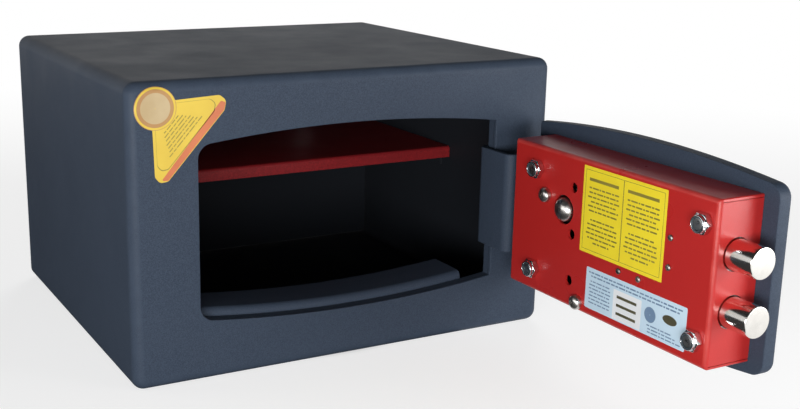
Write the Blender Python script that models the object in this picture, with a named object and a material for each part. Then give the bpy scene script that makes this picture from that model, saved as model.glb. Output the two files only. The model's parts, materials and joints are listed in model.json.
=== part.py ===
"""Small free-standing steel safe with its door swung open, built from separate named pieces.

Metres, +Z up. The origin is the centre of the cabinet's base and the front faces -Y.
The door's pieces are modelled where they lie with the door shut. An empty on the hinge axis
carries them and turns them open, so DOOR_OPEN_ANGLE alone sets how far the door stands open.
"""

import math

import bmesh
import bpy
from mathutils import Matrix, Vector

MM = 0.001

# Cabinet
CABINET_WIDTH = 350 * MM
CABINET_DEPTH = 300 * MM
CABINET_HEIGHT = 220 * MM
SHEET = 3 * MM
SIDE_INNER_BEND = 6 * MM
FRONT_BEND_SHARE = 0.85
JAMB_DEPTH = 10 * MM
BACK_THICKNESS = 3 * MM
ANCHOR_HOLE = 12 * MM
ANCHOR_SPACING = 200 * MM
ANCHOR_HEIGHT = 150 * MM
SEAT = 0.3 * MM

# Opening in the front
STILE_WIDTH = 50.5 * MM
OPENING_SIDE_HEIGHT = 127 * MM
OPENING_RISE = 8 * MM
OPENING_CORNER = 11 * MM
OPENING_HINGE_CORNER = 1.5 * MM

# Sill that the door shuts against
SILL_REVEAL = 6 * MM
SILL_SHEET = 3 * MM
SILL_DEPTH = 38 * MM
SILL_DROP = 26 * MM
SILL_BEND = 3.5 * MM
SILL_LEFT_MARGIN = 4 * MM
SILL_RIGHT_MARGIN = 22 * MM

# Shelf
SHELF_TOP = 123 * MM
SHELF_SETBACK = 138 * MM
SHELF_SHEET = 1.5 * MM
SHELF_LIP = 10.2 * MM
SHELF_BEND = 2 * MM
BRACKET_LEG = 16 * MM
BRACKET_SHEET = 2 * MM
BRACKET_INSET = 12 * MM

# Door plate
DOOR_THICKNESS = 12 * MM
DOOR_GAP = 1.2 * MM
HINGE_GAP = 1.6 * MM
STOP_GAP = 0.6 * MM
DOOR_EDGE = 4 * MM
SWING_CLEARANCE = 1.6 * MM
DOOR_OPEN_ANGLE = math.radians(90)

# Hinge
HINGE_OFFSET = 25.5 * MM
KNUCKLE_RADIUS = 5.5 * MM
KNUCKLE_GAP = 0.5 * MM
PIN_RADIUS = 3 * MM
PIN_HEAD_RADIUS = 5 * MM
PIN_HEAD = 2.5 * MM
RUNNING_GAP = 0.3 * MM
ARM_EDGE_MARGIN = 24.5 * MM
ARM_RISE = 2 * MM
ARM_SHEET = 4 * MM
ARM_BEND = 5 * MM
ARM_REACH = 32 * MM
ARM_FOOT = 8.5 * MM
ARM_COVER_GAP = 6.5 * MM
WASHER_THICKNESS = 1 * MM
LUG_THICKNESS = 5 * MM
LUG_HALF_WIDTH = 11 * MM
CLIP_THICKNESS = 1 * MM

# Lock cover
COVER_DEPTH = 37.2 * MM
COVER_SHEET = 2 * MM
COVER_INNER_BEND = 1 * MM
COVER_FREE_MARGIN = 12.3 * MM
COVER_HINGE_MARGIN = 24.5 * MM
COVER_EDGE_MARGIN = 7.5 * MM
CAP_HOLE = 21.6 * MM
SIGHT_HOLE = 7.6 * MM
SIGHT_SPACING = 34.5 * MM
SIGHT_OFFSET = 10 * MM
SIGHT_DROP = 1.6 * MM
HOLE_GAP = 0.4 * MM

# Cover fasteners
STUD_DIAMETER = 8 * MM
STUD_FREE_MARGIN = 11 * MM
STUD_HINGE_SHARE = 0.516
STUD_EDGE_MARGIN = 17.5 * MM
NUT_ACROSS_FLATS = 13 * MM
NUT_HEX = 4.4 * MM
NUT_COLLAR = 2.4 * MM
NUT_COLLAR_RADIUS = 5.9 * MM
STUD_RECESS = 0.7 * MM
PILLAR_RADIUS = 4.5 * MM
SCREW_HEAD_RADIUS = 5.4 * MM
SCREW_HEAD = 5.2 * MM
PAN_HEAD_PROFILE = ((1, 0.45), (0.82, 0.82), (0.45, 1))
SCREW_SHANK_RADIUS = 2.5 * MM
SCREW_SHANK = 8 * MM
UPPER_SCREW_FROM_KNOB = 20.5 * MM
UPPER_SCREW_RISE = 6.5 * MM
LOWER_SCREW_FROM_KNOB = 21.5 * MM
SHIELD_SHEET = 1.5 * MM
SHIELD_LENGTH = 82 * MM
SHIELD_HEIGHT = 60 * MM
SHIELD_OFFSET = 8 * MM
SHIELD_DROP = 2.7 * MM
SHIELD_SCREW_INSET = 4 * MM
SHIELD_SCREW_SPACING = 20 * MM
SHIELD_SCREW_RADIUS = 1.2 * MM
SHIELD_SCREW_HEAD_RADIUS = 2.2 * MM
SHIELD_SCREW_HEAD = 1.4 * MM
SHIELD_SCREW_CROWN = 0.7

# Bolts and bolt carriage
BOLT_DIAMETER = 21 * MM
BOLT_STUD_DISTANCE = 19.5 * MM
BOLT_DEPTH = 19.6 * MM
BOLT_REACH = 9.7 * MM
BOLT_LENGTH = 41 * MM
BOLT_CHAMFER = 1.2 * MM
BOLT_TRAVEL = 12 * MM
TAIL_RADIUS = 5 * MM
TAIL_END = 1.5 * MM
BAR_THICKNESS = 6 * MM
BAR_WIDTH = 15 * MM
BAR_OVERHANG = 15 * MM
GUIDE_SHEET = 4 * MM
GUIDE_FOOT = 12 * MM
GUIDE_INSET = 1 * MM
GUIDE_EDGE = 4 * MM
CARRIAGE_SHEET = 4 * MM
CARRIAGE_CLEARANCE = 2.7 * MM
CARRIAGE_BAR_SHARE = 0.716
CARRIAGE_TAIL_GAP = 4 * MM
CARRIAGE_STEP = 5.4 * MM
TAB_WIDTH = 16 * MM
FORK_WIDTH = 20 * MM
GUIDE_STUD_RADIUS = 4 * MM
GUIDE_STUD_SHOULDER = 6 * MM
GUIDE_STUD_HEAD_RADIUS = 7 * MM
GUIDE_STUD_HEAD = 3 * MM
GUIDE_STUD_SPACING = 45 * MM
SLIDE_GAP = 0.4 * MM

# Strike plate
STRIKE_SHEET = 4 * MM
STRIKE_FOOT = 22 * MM
STRIKE_EDGE = 15 * MM
STRIKE_SETBACK = 2.5 * MM
STRIKE_HOLE_GAP = 0.8 * MM

# Knob
KNOB_FROM_DIAL = 36 * MM
KNOB_SHARE = 0.2283
KNOB_RISE = 14.5 * MM
SPINDLE_RADIUS = 4 * MM
CRANK_RADIUS = 16 * MM
CRANK_THICKNESS = 5 * MM
CRANK_HALF_SWING = math.radians(30)
CRANK_PIN_RADIUS = 3 * MM
BUSH_RADIUS = 7 * MM
BUSH_LENGTH = 6.4 * MM
ROSETTE_RADIUS = 18 * MM
ROSETTE_THICKNESS = 3 * MM
KNOB_RADIUS = 16 * MM
KNOB_NECK_RADIUS = 9 * MM
KNOB_LENGTH = 23 * MM
KNOB_NECK = 8 * MM
KNOB_RIM = 2.8 * MM
KNOB_CROWN = 1.2 * MM
KNOB_CROWN_RADIUS = 9 * MM
CAP_RADIUS = 9.3 * MM
CAP_RIM = 3 * MM
CAP_HEIGHT = 7.5 * MM
CAP_FLAT_RADIUS = 1 * MM

# Dial and combination wheels
DIAL_FROM_END = 84 * MM
DIAL_SPINDLE_RADIUS = 3.5 * MM
DIAL_RADIUS = 27 * MM
DIAL_FLANGE = 6 * MM
DIAL_GRIP_RADIUS = 13 * MM
DIAL_GRIP = 14 * MM
DIAL_GRIP_BEVEL = 2 * MM
DIAL_RING_RADIUS = 34 * MM
DIAL_RING_THICKNESS = 5 * MM
DRILL_PLATE = 3 * MM
DRILL_PLATE_EDGE = 12 * MM
DRILL_PLATE_HEIGHT = 52 * MM
POST_RADIUS = 6 * MM
POST_FLANGE_RADIUS = 15 * MM
POST_FLANGE = 3 * MM
WHEEL_RADIUS = 23 * MM
WHEEL_THICKNESS = 3.5 * MM
WHEEL_COUNT = 3
SPACER_RADIUS = 8 * MM
SPACER_THICKNESS = 2.5 * MM
GATE_FLOOR_RADIUS = 11.6 * MM
FENCE_THICKNESS = 5 * MM
FENCE_GATE_GAP = 0.7 * MM
FENCE_WHEEL_GAP = 1.5 * MM
FLY_RADIUS = 14 * MM
FLY_PIN_RADIUS = 1.5 * MM
FLY_REACH = 1.1 * MM
FLY_OFFSET = math.radians(15)
FLY_STEP = math.radians(60)
DRIVE_DISC_RADIUS = 17 * MM
DRIVE_DISC_THICKNESS = 4 * MM
DRIVE_GAP = 2.5 * MM

# Mesh resolution
ROUND_SIDES = 28
SMALL_SIDES = 16
TINY_SIDES = 12
ARC_STEPS = 20
CORNER_STEPS = 4
BEND_STEPS = 4
SMOOTH_ANGLE = math.radians(35)

# Places worked out from the sizes above
FRONT = -CABINET_DEPTH / 2
REAR = CABINET_DEPTH / 2
MID_Z = CABINET_HEIGHT / 2
SIDE_BEND = SIDE_INNER_BEND + SHEET
FRONT_BEND = SIDE_BEND * FRONT_BEND_SHARE
INNER_HALF_WIDTH = CABINET_WIDTH / 2 - SHEET
FRAME_BACK = FRONT + JAMB_DEPTH
JAMB_X = CABINET_WIDTH / 2 - STILE_WIDTH
OPENING_APEX = OPENING_SIDE_HEIGHT / 2 + OPENING_RISE
ARCH_RADIUS = (JAMB_X**2 + OPENING_RISE**2) / (2 * OPENING_RISE)
SILL_FRONT = FRAME_BACK + SEAT

DOOR_BACK = SILL_FRONT - STOP_GAP
DOOR_FRONT = DOOR_BACK - DOOR_THICKNESS
DOOR_FREE_X = -(JAMB_X - DOOR_GAP)
PIVOT_X = JAMB_X + HINGE_OFFSET
PIVOT_Y = FRAME_BACK + KNUCKLE_GAP + KNUCKLE_RADIUS
ARM_HALF_HEIGHT = OPENING_SIDE_HEIGHT / 2 - ARM_EDGE_MARGIN
ARM_BOTTOM = MID_Z + ARM_RISE - ARM_HALF_HEIGHT
ARM_TOP = MID_Z + ARM_RISE + ARM_HALF_HEIGHT

COVER_LEFT = DOOR_FREE_X + COVER_FREE_MARGIN
COVER_RIGHT = JAMB_X - COVER_HINGE_MARGIN
COVER_LENGTH = COVER_RIGHT - COVER_LEFT
COVER_HEIGHT = OPENING_SIDE_HEIGHT - 2 * COVER_EDGE_MARGIN
COVER_SEAT = DOOR_BACK + SEAT
COVER_FACE = COVER_SEAT + COVER_DEPTH
COVER_INSIDE = COVER_FACE - COVER_SHEET
COVER_BOTTOM = MID_Z - COVER_HEIGHT / 2
STUD_RISE = COVER_HEIGHT / 2 - STUD_EDGE_MARGIN

DIAL_X = COVER_LEFT + DIAL_FROM_END
KNOB_X = DIAL_X + KNOB_FROM_DIAL + (COVER_RIGHT - DIAL_X) * KNOB_SHARE
KNOB_Z = MID_Z + KNOB_RISE
DRILL_PLATE_BACK = COVER_SEAT + DRILL_PLATE
CRANK_FRONT = DRILL_PLATE_BACK + SEAT + BUSH_LENGTH + SEAT
CRANK_BACK = CRANK_FRONT + CRANK_THICKNESS
CRANK_ARM = BOLT_TRAVEL / 2 / math.sin(CRANK_HALF_SWING)
BOLT_Y = DOOR_BACK + BOLT_DEPTH
BOLT_RISE = STUD_RISE - BOLT_STUD_DISTANCE
BOLT_LEVELS = (MID_Z - BOLT_RISE, MID_Z + BOLT_RISE)
BOLT_TIP = DOOR_FREE_X - BOLT_REACH
BOLT_END = BOLT_TIP + BOLT_LENGTH
BAR_FRONT_X = BOLT_END + SEAT
BAR_BACK_X = BAR_FRONT_X + BAR_THICKNESS
CARRIAGE_FRONT = BOLT_Y - CARRIAGE_SHEET / 2
CARRIAGE_BACK = BOLT_Y + CARRIAGE_SHEET / 2
LOWER_SCREW_Z = COVER_BOTTOM + COVER_SHEET + SEAT + PILLAR_RADIUS
CARRIAGE_BOTTOM = LOWER_SCREW_Z + PILLAR_RADIUS + CARRIAGE_CLEARANCE
CARRIAGE_BAR = (KNOB_Z - WHEEL_RADIUS - CARRIAGE_BOTTOM) * CARRIAGE_BAR_SHARE
CARRIAGE_BAR_TOP = CARRIAGE_BOTTOM + CARRIAGE_BAR
SLIDE_SLOT_Z = CARRIAGE_BOTTOM + CARRIAGE_BAR / 2

POST_FRONT = DRILL_PLATE_BACK + SEAT
WHEEL_PITCH = WHEEL_THICKNESS + SPACER_THICKNESS + 2 * SEAT
FIRST_WHEEL = POST_FRONT + POST_FLANGE + SEAT
LAST_WHEEL_BACK = FIRST_WHEEL + (WHEEL_COUNT - 1) * WHEEL_PITCH + WHEEL_THICKNESS
POST_BACK = LAST_WHEEL_BACK + SEAT + SPACER_THICKNESS / 2
DRIVE_FRONT = LAST_WHEEL_BACK + DRIVE_GAP
DRIVE_BACK = DRIVE_FRONT + DRIVE_DISC_THICKNESS
FENCE_TIP = DIAL_X - WHEEL_RADIUS - FENCE_WHEEL_GAP
FENCE_ROOT = DIAL_X - WHEEL_RADIUS - FENCE_WHEEL_GAP - BOLT_TRAVEL


# Materials

def material(name, colour, roughness, metallic):
    """A Principled material of one colour."""
    made = bpy.data.materials.new(name)
    made.use_nodes = True
    shader = made.node_tree.nodes["Principled BSDF"]
    shader.inputs["Base Color"].default_value = (*colour, 1)
    shader.inputs["Roughness"].default_value = roughness
    shader.inputs["Metallic"].default_value = metallic
    made.diffuse_color = (*colour, 1)
    return made


def finishes():
    """The finishes that the pieces use, by plain name."""
    return {
        "slate": ((0.045, 0.062, 0.088), 0.5, 0.0),
        "red": ((0.36, 0.018, 0.018), 0.45, 0.0),
        "dark red": ((0.22, 0.012, 0.014), 0.5, 0.0),
        "nickel": ((0.74, 0.73, 0.7), 0.12, 1.0),
        "steel": ((0.5, 0.5, 0.49), 0.35, 1.0),
        "brass": ((0.62, 0.46, 0.2), 0.35, 1.0),
        "black": ((0.02, 0.02, 0.022), 0.4, 0.0),
    }


# Outlines, as lists of points in one plane

def circle(radius, sides, centre=(0, 0)):
    """Points round a circle."""
    turns = [2 * math.pi * i / sides for i in range(sides)]
    return [(centre[0] + radius * math.cos(t), centre[1] + radius * math.sin(t)) for t in turns]


def rectangle(left, right, bottom, top):
    """The four corners of a box in a plane."""
    return [(left, bottom), (right, bottom), (right, top), (left, top)]


def hexagon(across_flats, centre):
    """The six corners of a nut."""
    return circle(across_flats / math.sqrt(3), 6, centre)


def arc(centre, radius, start, end, steps):
    """Points along an arc, both ends included."""
    turns = [start + (end - start) * i / steps for i in range(steps + 1)]
    return [(centre[0] + radius * math.cos(t), centre[1] + radius * math.sin(t)) for t in turns]


def barrel(left, right, apex, arch_radius, left_corner, right_corner):
    """Upright sides joined by a bowed top and bottom, centred on height zero.

    Each corner is an arc that is tangent both to the upright side and to the bowed edge.
    """
    arch_centre = apex - arch_radius
    right_side, left_side = right - right_corner, left + left_corner
    right_rise = math.sqrt((arch_radius - right_corner) ** 2 - right_side**2)
    left_rise = math.sqrt((arch_radius - left_corner) ** 2 - left_side**2)
    right_turn = math.atan2(right_rise, right_side)
    left_turn = math.atan2(left_rise, left_side)
    upper = arc((right_side, arch_centre + right_rise), right_corner, 0, right_turn, CORNER_STEPS)
    upper += arc((0, arch_centre), arch_radius, right_turn, left_turn, ARC_STEPS)[1:-1]
    upper += arc((left_side, arch_centre + left_rise), left_corner, left_turn, math.pi, CORNER_STEPS)
    return upper + [(x, -z) for x, z in reversed(upper)]


def opening_outline(inset=0.0, right_inset=None):
    """The opening's outline, drawn in by an inset that may differ on the hinge side.

    The free side's corners are round and shrink with the inset. The hinge side's stay square but for
    a small round.
    """
    if right_inset is None:
        right_inset = inset
    left, right = inset - JAMB_X, JAMB_X - right_inset
    apex, bow, corner = OPENING_APEX - inset, ARCH_RADIUS - inset, OPENING_CORNER - inset
    return barrel(left, right, apex, bow, corner, OPENING_HINGE_CORNER)


def rounded_path(points, radius):
    """A bent line whose corners are replaced with arcs."""
    path = [Vector(points[0])]
    for before, corner, after in zip(points, points[1:], points[2:]):
        corner = Vector(corner)
        inward = (Vector(before) - corner).normalized()
        outward = (Vector(after) - corner).normalized()
        half = inward.angle(outward) / 2
        bisector = (inward + outward).normalized()
        centre = corner + bisector * radius / math.sin(half)
        start = corner + inward * radius / math.tan(half) - centre
        turn = math.pi - 2 * half
        sign = 1 if inward.cross(outward) < 0 else -1
        for i in range(BEND_STEPS + 1):
            path.append(centre + Matrix.Rotation(sign * turn * i / BEND_STEPS, 2) @ start)
    path.append(Vector(points[-1]))
    return path


def bent_strip(points, thickness, radius):
    """The outline of a sheet of one thickness bent along a line, with rounded bends."""
    path = rounded_path(points, radius)
    left, right = [], []
    for i, point in enumerate(path):
        ahead = path[min(i + 1, len(path) - 1)] - point
        behind = point - path[max(i - 1, 0)]
        if ahead.length > 0 and behind.length > 0:
            along = (ahead.normalized() + behind.normalized()).normalized()
        else:
            along = (ahead + behind).normalized()
        side = Vector((-along.y, along.x)) * thickness / 2
        left.append(tuple(point + side))
        right.append(tuple(point - side))
    return left + right[::-1]


# Solids

def new_object(name, bm, finish, origin=(0, 0, 0)):
    """An object from a closed bmesh, with its origin where it turns or stands."""
    origin = Vector(origin)
    bmesh.ops.recalc_face_normals(bm, faces=bm.faces)
    bmesh.ops.translate(bm, verts=bm.verts, vec=-origin)
    mesh = bpy.data.meshes.new(name)
    bm.to_mesh(mesh)
    bm.free()
    mesh.shade_smooth()
    mesh.set_sharp_from_angle(angle=SMOOTH_ANGLE)
    if finish is not None:
        mesh.materials.append(material(name, *finishes()[finish]))
    made = bpy.data.objects.new(name, mesh)
    made.location = origin
    bpy.context.scene.collection.objects.link(made)
    return made


def in_space(outline, axis, level):
    """Points of a plane outline at one level along the axis that it is extruded on."""
    if axis == "X":
        return [(level, u, v) for u, v in outline]
    if axis == "Y":
        return [(u, level, v) for u, v in outline]
    return [(u, v, level) for u, v in outline]


def add_prism(bm, outline, axis, low, high):
    """Extrude an outline along an axis."""
    base = bm.faces.new([bm.verts.new(point) for point in in_space(outline, axis, low)])
    grown = bmesh.ops.extrude_face_region(bm, geom=[base], use_keep_orig=True)
    moved = [item for item in grown["geom"] if isinstance(item, bmesh.types.BMVert)]
    shift = Vector(in_space([(0, 0)], axis, high - low)[0])
    bmesh.ops.translate(bm, verts=moved, vec=shift)


def prism(name, outline, axis, low, high, finish, origin=(0, 0, 0)):
    """One extruded solid."""
    bm = bmesh.new()
    add_prism(bm, outline, axis, low, high)
    return new_object(name, bm, finish, origin)


def cutter(name, outlines, axis, low, high):
    """A helper of extruded outlines that don't touch."""
    bm = bmesh.new()
    for outline in outlines:
        add_prism(bm, outline, axis, low, high)
    return new_object(name, bm, None)


def add_loft(bm, rings, closed=False):
    """Skin matching rings of points, and cap the ends unless the rings close on themselves."""
    rows = [[bm.verts.new(point) for point in ring] for ring in rings]
    pairs = list(zip(rows, rows[1:]))
    if closed:
        pairs.append((rows[-1], rows[0]))
    else:
        bm.faces.new(rows[0])
        bm.faces.new(rows[-1])
    for row, following in pairs:
        for i in range(len(row)):
            j = (i + 1) % len(row)
            bm.faces.new((row[i], row[j], following[j], following[i]))


def loft(name, rings, finish, origin=(0, 0, 0)):
    """One solid skinned over rings."""
    bm = bmesh.new()
    add_loft(bm, rings)
    return new_object(name, bm, finish, origin)


def add_turned(bm, profile, axis, centre, sides, closed=False):
    """A turned solid from (radius, level) pairs. A closed profile leaves a bore along the axis."""
    rings = [in_space(circle(radius, sides, centre), axis, level) for radius, level in profile]
    add_loft(bm, rings, closed)


def turned(name, profile, axis, centre, finish, sides=ROUND_SIDES, closed=False):
    """One turned solid, with its origin on its own axis."""
    bm = bmesh.new()
    add_turned(bm, profile, axis, centre, sides, closed)
    return new_object(name, bm, finish, in_space([centre], axis, profile[0][1])[0])


def turned_set(name, profile, centres, finish, door, sides=SMALL_SIDES):
    """Equal turned pieces that the door carries, numbered from one."""
    for i, centre in enumerate(centres, 1):
        hang(turned(f"{name}_{i}", profile, "Y", centre, finish, sides), door)


def ring_profile(outer, inner, low, high):
    """The profile of a plain ring with a bore."""
    return [(outer, low), (outer, high), (inner, high), (inner, low)]


def folded_box(name, size, centre, corner, bend, finish):
    """A box with four rounded edges along Y and a rounded rim round its front or rear face.

    A positive bend rounds the rim of the rear face, a negative one that of the front face.
    """
    bm = bmesh.new()
    bmesh.ops.create_cube(bm, size=1.0, matrix=Matrix.Translation(centre) @ Matrix.Diagonal((*size, 1)))
    along = [e for e in bm.edges if abs((e.verts[0].co - e.verts[1].co).y) > size[1] / 2]
    bmesh.ops.bevel(bm, geom=along, offset=corner, segments=BEND_STEPS, profile=0.5, affect="EDGES")
    level = centre[1] + math.copysign(size[1] / 2, bend)
    rim = [e for e in bm.edges if all(abs(v.co.y - level) < 0.01 * MM for v in e.verts)]
    if bend:
        bmesh.ops.bevel(bm, geom=rim, offset=abs(bend), segments=BEND_STEPS, profile=0.5, affect="EDGES")
    return new_object(name, bm, finish)


def boolean(target, tool, operation):
    """Cut or join a helper object to a piece with a Boolean modifier."""
    step = target.modifiers.new(tool.name, "BOOLEAN")
    step.operation = operation
    step.solver = "EXACT"
    step.object = tool
    tool.hide_render = True
    tool.display_type = "WIRE"
    tool.parent = target
    tool.matrix_parent_inverse = Matrix.Translation(-target.location)


def cut(target, tool):
    """Take a helper's shape out of a piece."""
    boolean(target, tool, "DIFFERENCE")


def join(target, tool):
    """Add a helper's shape to a piece."""
    boolean(target, tool, "UNION")


def hole_cutter(name, axis, holes, low, high, sides=SMALL_SIDES):
    """A helper of round rods, one for each (radius, centre)."""
    return cutter(name, [circle(r, sides, centre) for r, centre in holes], axis, low, high)


# Cabinet

def build_shell():
    """Outer sheet: four walls and the front face, open at the rear."""
    size = (CABINET_WIDTH, CABINET_DEPTH, CABINET_HEIGHT)
    shell = folded_box("cabinet_shell", size, (0, 0, MID_Z), SIDE_BEND, -FRONT_BEND, "slate")
    hollow = (CABINET_WIDTH - 2 * SHEET, CABINET_DEPTH, CABINET_HEIGHT - 2 * SHEET)
    cut(shell, folded_box("shell_hollow", hollow, (0, SHEET, MID_Z), SIDE_INNER_BEND, 0, None))
    outline = [(x, MID_Z + z) for x, z in opening_outline()]
    cut(shell, prism("shell_opening", outline, "Y", FRONT - SHEET, FRONT + 2 * SHEET, None))
    spots = [(ANCHOR_HOLE / 2, (side * ANCHOR_SPACING / 2, 0)) for side in (-1, 1)]
    cut(shell, hole_cutter("shell_anchor_holes", "Z", spots, -SHEET, 2 * SHEET))


def inner_panel(name, low, high):
    """A plate that fits inside the shell with a seat gap all round."""
    size = (2 * (INNER_HALF_WIDTH - SEAT), high - low, CABINET_HEIGHT - 2 * (SHEET + SEAT))
    corner = SIDE_INNER_BEND - SEAT
    return folded_box(name, size, (0, (low + high) / 2, MID_Z), corner, 0, "slate")


def build_front_frame():
    """Plate behind the front face, cut to the same opening."""
    frame = inner_panel("front_frame", FRONT + SHEET + SEAT, FRAME_BACK)
    outline = [(x, MID_Z + z) for x, z in opening_outline()]
    cut(frame, prism("frame_opening", outline, "Y", FRONT, FRAME_BACK + SHEET, None))


def build_back_panel():
    """Rear plate, flush with the shell's rear edge, with two anchor holes."""
    panel = inner_panel("back_panel", REAR - BACK_THICKNESS, REAR)
    spots = [(ANCHOR_HOLE / 2, (side * ANCHOR_SPACING / 2, ANCHOR_HEIGHT)) for side in (-1, 1)]
    cut(panel, hole_cutter("back_anchor_holes", "Y", spots, REAR - 2 * BACK_THICKNESS, REAR + SHEET))


def arch_bottom(x):
    """Height of the opening's bowed lower edge."""
    return MID_Z - (OPENING_APEX - ARCH_RADIUS + math.sqrt(ARCH_RADIUS**2 - x**2))


def build_sill():
    """Bent strip that follows the bowed lower edge and stands a little above it."""
    left = SILL_LEFT_MARGIN - JAMB_X
    right = JAMB_X - SILL_RIGHT_MARGIN
    middle = SILL_SHEET / 2
    rings = []
    for i in range(ARC_STEPS + 1):
        x = left + (right - left) * i / ARC_STEPS
        top = arch_bottom(x) + SILL_REVEAL
        line = [
            (SILL_FRONT + middle, top - SILL_DROP),
            (SILL_FRONT + middle, top - middle),
            (SILL_FRONT + SILL_DEPTH, top - middle),
        ]
        rings.append(in_space(bent_strip(line, SILL_SHEET, SILL_BEND), "X", x))
    loft("door_sill", rings, "slate")


def build_strike():
    """Angle behind the free-side stile with a hole for each bolt."""
    face = -(JAMB_X + STRIKE_SETBACK)
    middle = STRIKE_SHEET / 2
    depth = BOLT_Y + BOLT_DIAMETER / 2 + STRIKE_HOLE_GAP + STRIKE_EDGE / 2
    line = [
        (face - STRIKE_FOOT, FRAME_BACK + SEAT + middle),
        (face - middle, FRAME_BACK + SEAT + middle),
        (face - middle, depth),
    ]
    low = BOLT_LEVELS[0] - BOLT_DIAMETER / 2 - STRIKE_EDGE
    high = BOLT_LEVELS[1] + BOLT_DIAMETER / 2 + STRIKE_EDGE
    strike = prism("strike_plate", bent_strip(line, STRIKE_SHEET, STRIKE_SHEET), "Z", low, high, "steel")
    holes = [(BOLT_DIAMETER / 2 + STRIKE_HOLE_GAP, (BOLT_Y, level)) for level in BOLT_LEVELS]
    start, end = face - 2 * STRIKE_SHEET, face + STRIKE_SHEET
    cut(strike, hole_cutter("strike_holes", "X", holes, start, end, ROUND_SIDES))


def build_shelf():
    """Half-depth shelf with a bent front lip, on two angles along the side walls."""
    half = INNER_HALF_WIDTH - SEAT
    middle = SHELF_SHEET / 2
    front = FRONT + SHELF_SETBACK
    line = [
        (front + middle, SHELF_TOP - SHELF_LIP),
        (front + middle, SHELF_TOP - middle),
        (REAR - BACK_THICKNESS - SEAT, SHELF_TOP - middle),
    ]
    prism("shelf", bent_strip(line, SHELF_SHEET, SHELF_BEND), "X", -half, half, "dark red")
    under = SHELF_TOP - SHELF_SHEET - SEAT - BRACKET_SHEET / 2
    back = REAR - BACK_THICKNESS - BRACKET_INSET
    for name, side in (("shelf_bracket_left", -1), ("shelf_bracket_right", 1)):
        wall = side * (half - BRACKET_SHEET / 2)
        leg = [(wall, under - BRACKET_LEG), (wall, under), (wall - side * BRACKET_LEG, under)]
        outline = bent_strip(leg, BRACKET_SHEET, BRACKET_SHEET)
        prism(name, outline, "Y", front + BRACKET_INSET, back, "slate")


# Hinge

def lug_levels():
    """The lower and upper lug's bottom levels, clear of the arm and its washer."""
    return ARM_BOTTOM - 2 * SEAT - WASHER_THICKNESS - LUG_THICKNESS, ARM_TOP + SEAT


def build_hinge_lugs():
    """Two lugs welded behind the stile, each with a round nose about the pin."""
    root = FRAME_BACK + SEAT
    nose = arc((PIVOT_X, PIVOT_Y), LUG_HALF_WIDTH, 0, math.pi, 2 * BEND_STEPS)
    outline = [(PIVOT_X - LUG_HALF_WIDTH, root), (PIVOT_X + LUG_HALF_WIDTH, root)] + nose
    bore = [(PIN_RADIUS + RUNNING_GAP, (PIVOT_X, PIVOT_Y))]
    for name, low in zip(("hinge_lug_lower", "hinge_lug_upper"), lug_levels()):
        high = low + LUG_THICKNESS
        lug = prism(name, outline, "Z", low, high, "slate")
        cut(lug, hole_cutter(name + "_bore", "Z", bore, low - LUG_THICKNESS, high + LUG_THICKNESS))


def build_hinge_pin():
    """Headed pin, its retaining ring and the thrust washer under the arm."""
    lower, upper = lug_levels()
    centre = (PIVOT_X, PIVOT_Y)
    head = upper + LUG_THICKNESS + SEAT
    clip = lower - SEAT - CLIP_THICKNESS
    end = clip - CLIP_THICKNESS
    profile = [
        (PIN_RADIUS, end),
        (PIN_RADIUS, head),
        (PIN_HEAD_RADIUS, head),
        (PIN_HEAD_RADIUS, head + PIN_HEAD),
    ]
    turned("hinge_pin", profile, "Z", centre, "steel", SMALL_SIDES)
    bore = PIN_RADIUS + RUNNING_GAP
    clip_ring = ring_profile(PIN_HEAD_RADIUS, bore, clip, clip + CLIP_THICKNESS)
    turned("hinge_clip", clip_ring, "Z", centre, "steel", SMALL_SIDES, closed=True)
    washer = ring_profile(KNUCKLE_RADIUS, bore, ARM_BOTTOM - SEAT - WASHER_THICKNESS, ARM_BOTTOM - SEAT)
    turned("hinge_washer", washer, "Z", centre, "brass", SMALL_SIDES, closed=True)


def build_hinge_arm(door):
    """Goose-neck arm: foot on the plate, round the stile's edge and back to the knuckle."""
    middle = ARM_SHEET / 2
    foot_x = COVER_RIGHT + ARM_COVER_GAP + middle
    knuckle_x = PIVOT_X - KNUCKLE_RADIUS + middle
    back = PIVOT_Y + ARM_REACH - middle
    line = [
        (foot_x + ARM_FOOT, COVER_SEAT + middle),
        (foot_x, COVER_SEAT + middle),
        (foot_x, back),
        (knuckle_x, back),
        (knuckle_x, PIVOT_Y),
    ]
    outline = bent_strip(line, ARM_SHEET, ARM_BEND)
    origin = (PIVOT_X, PIVOT_Y, ARM_BOTTOM)
    arm = prism("hinge_arm", outline, "Z", ARM_BOTTOM, ARM_TOP, "slate", origin)
    knuckle = circle(KNUCKLE_RADIUS, SMALL_SIDES, (PIVOT_X, PIVOT_Y))
    join(arm, prism("arm_knuckle", knuckle, "Z", ARM_BOTTOM, ARM_TOP, None))
    bore = [(PIN_RADIUS + RUNNING_GAP, (PIVOT_X, PIVOT_Y))]
    cut(arm, hole_cutter("arm_bore", "Z", bore, ARM_BOTTOM - ARM_SHEET, ARM_TOP + ARM_SHEET))
    hang(arm, door)


# Door

def hang(piece, door):
    """Let the hinge empty carry a piece that is placed as if the door were shut."""
    piece.parent = door
    piece.matrix_parent_inverse = Matrix.Translation(-door.location)


def hinge_edge_relief():
    """How far the plate's inner hinge edge is drawn in, so that it turns clear of the stile."""
    jamb_reach = math.hypot(HINGE_OFFSET, PIVOT_Y - FRONT) + SWING_CLEARANCE
    inner_edge = PIVOT_X - math.sqrt(jamb_reach**2 - (PIVOT_Y - DOOR_BACK) ** 2)
    return JAMB_X - inner_edge


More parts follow.
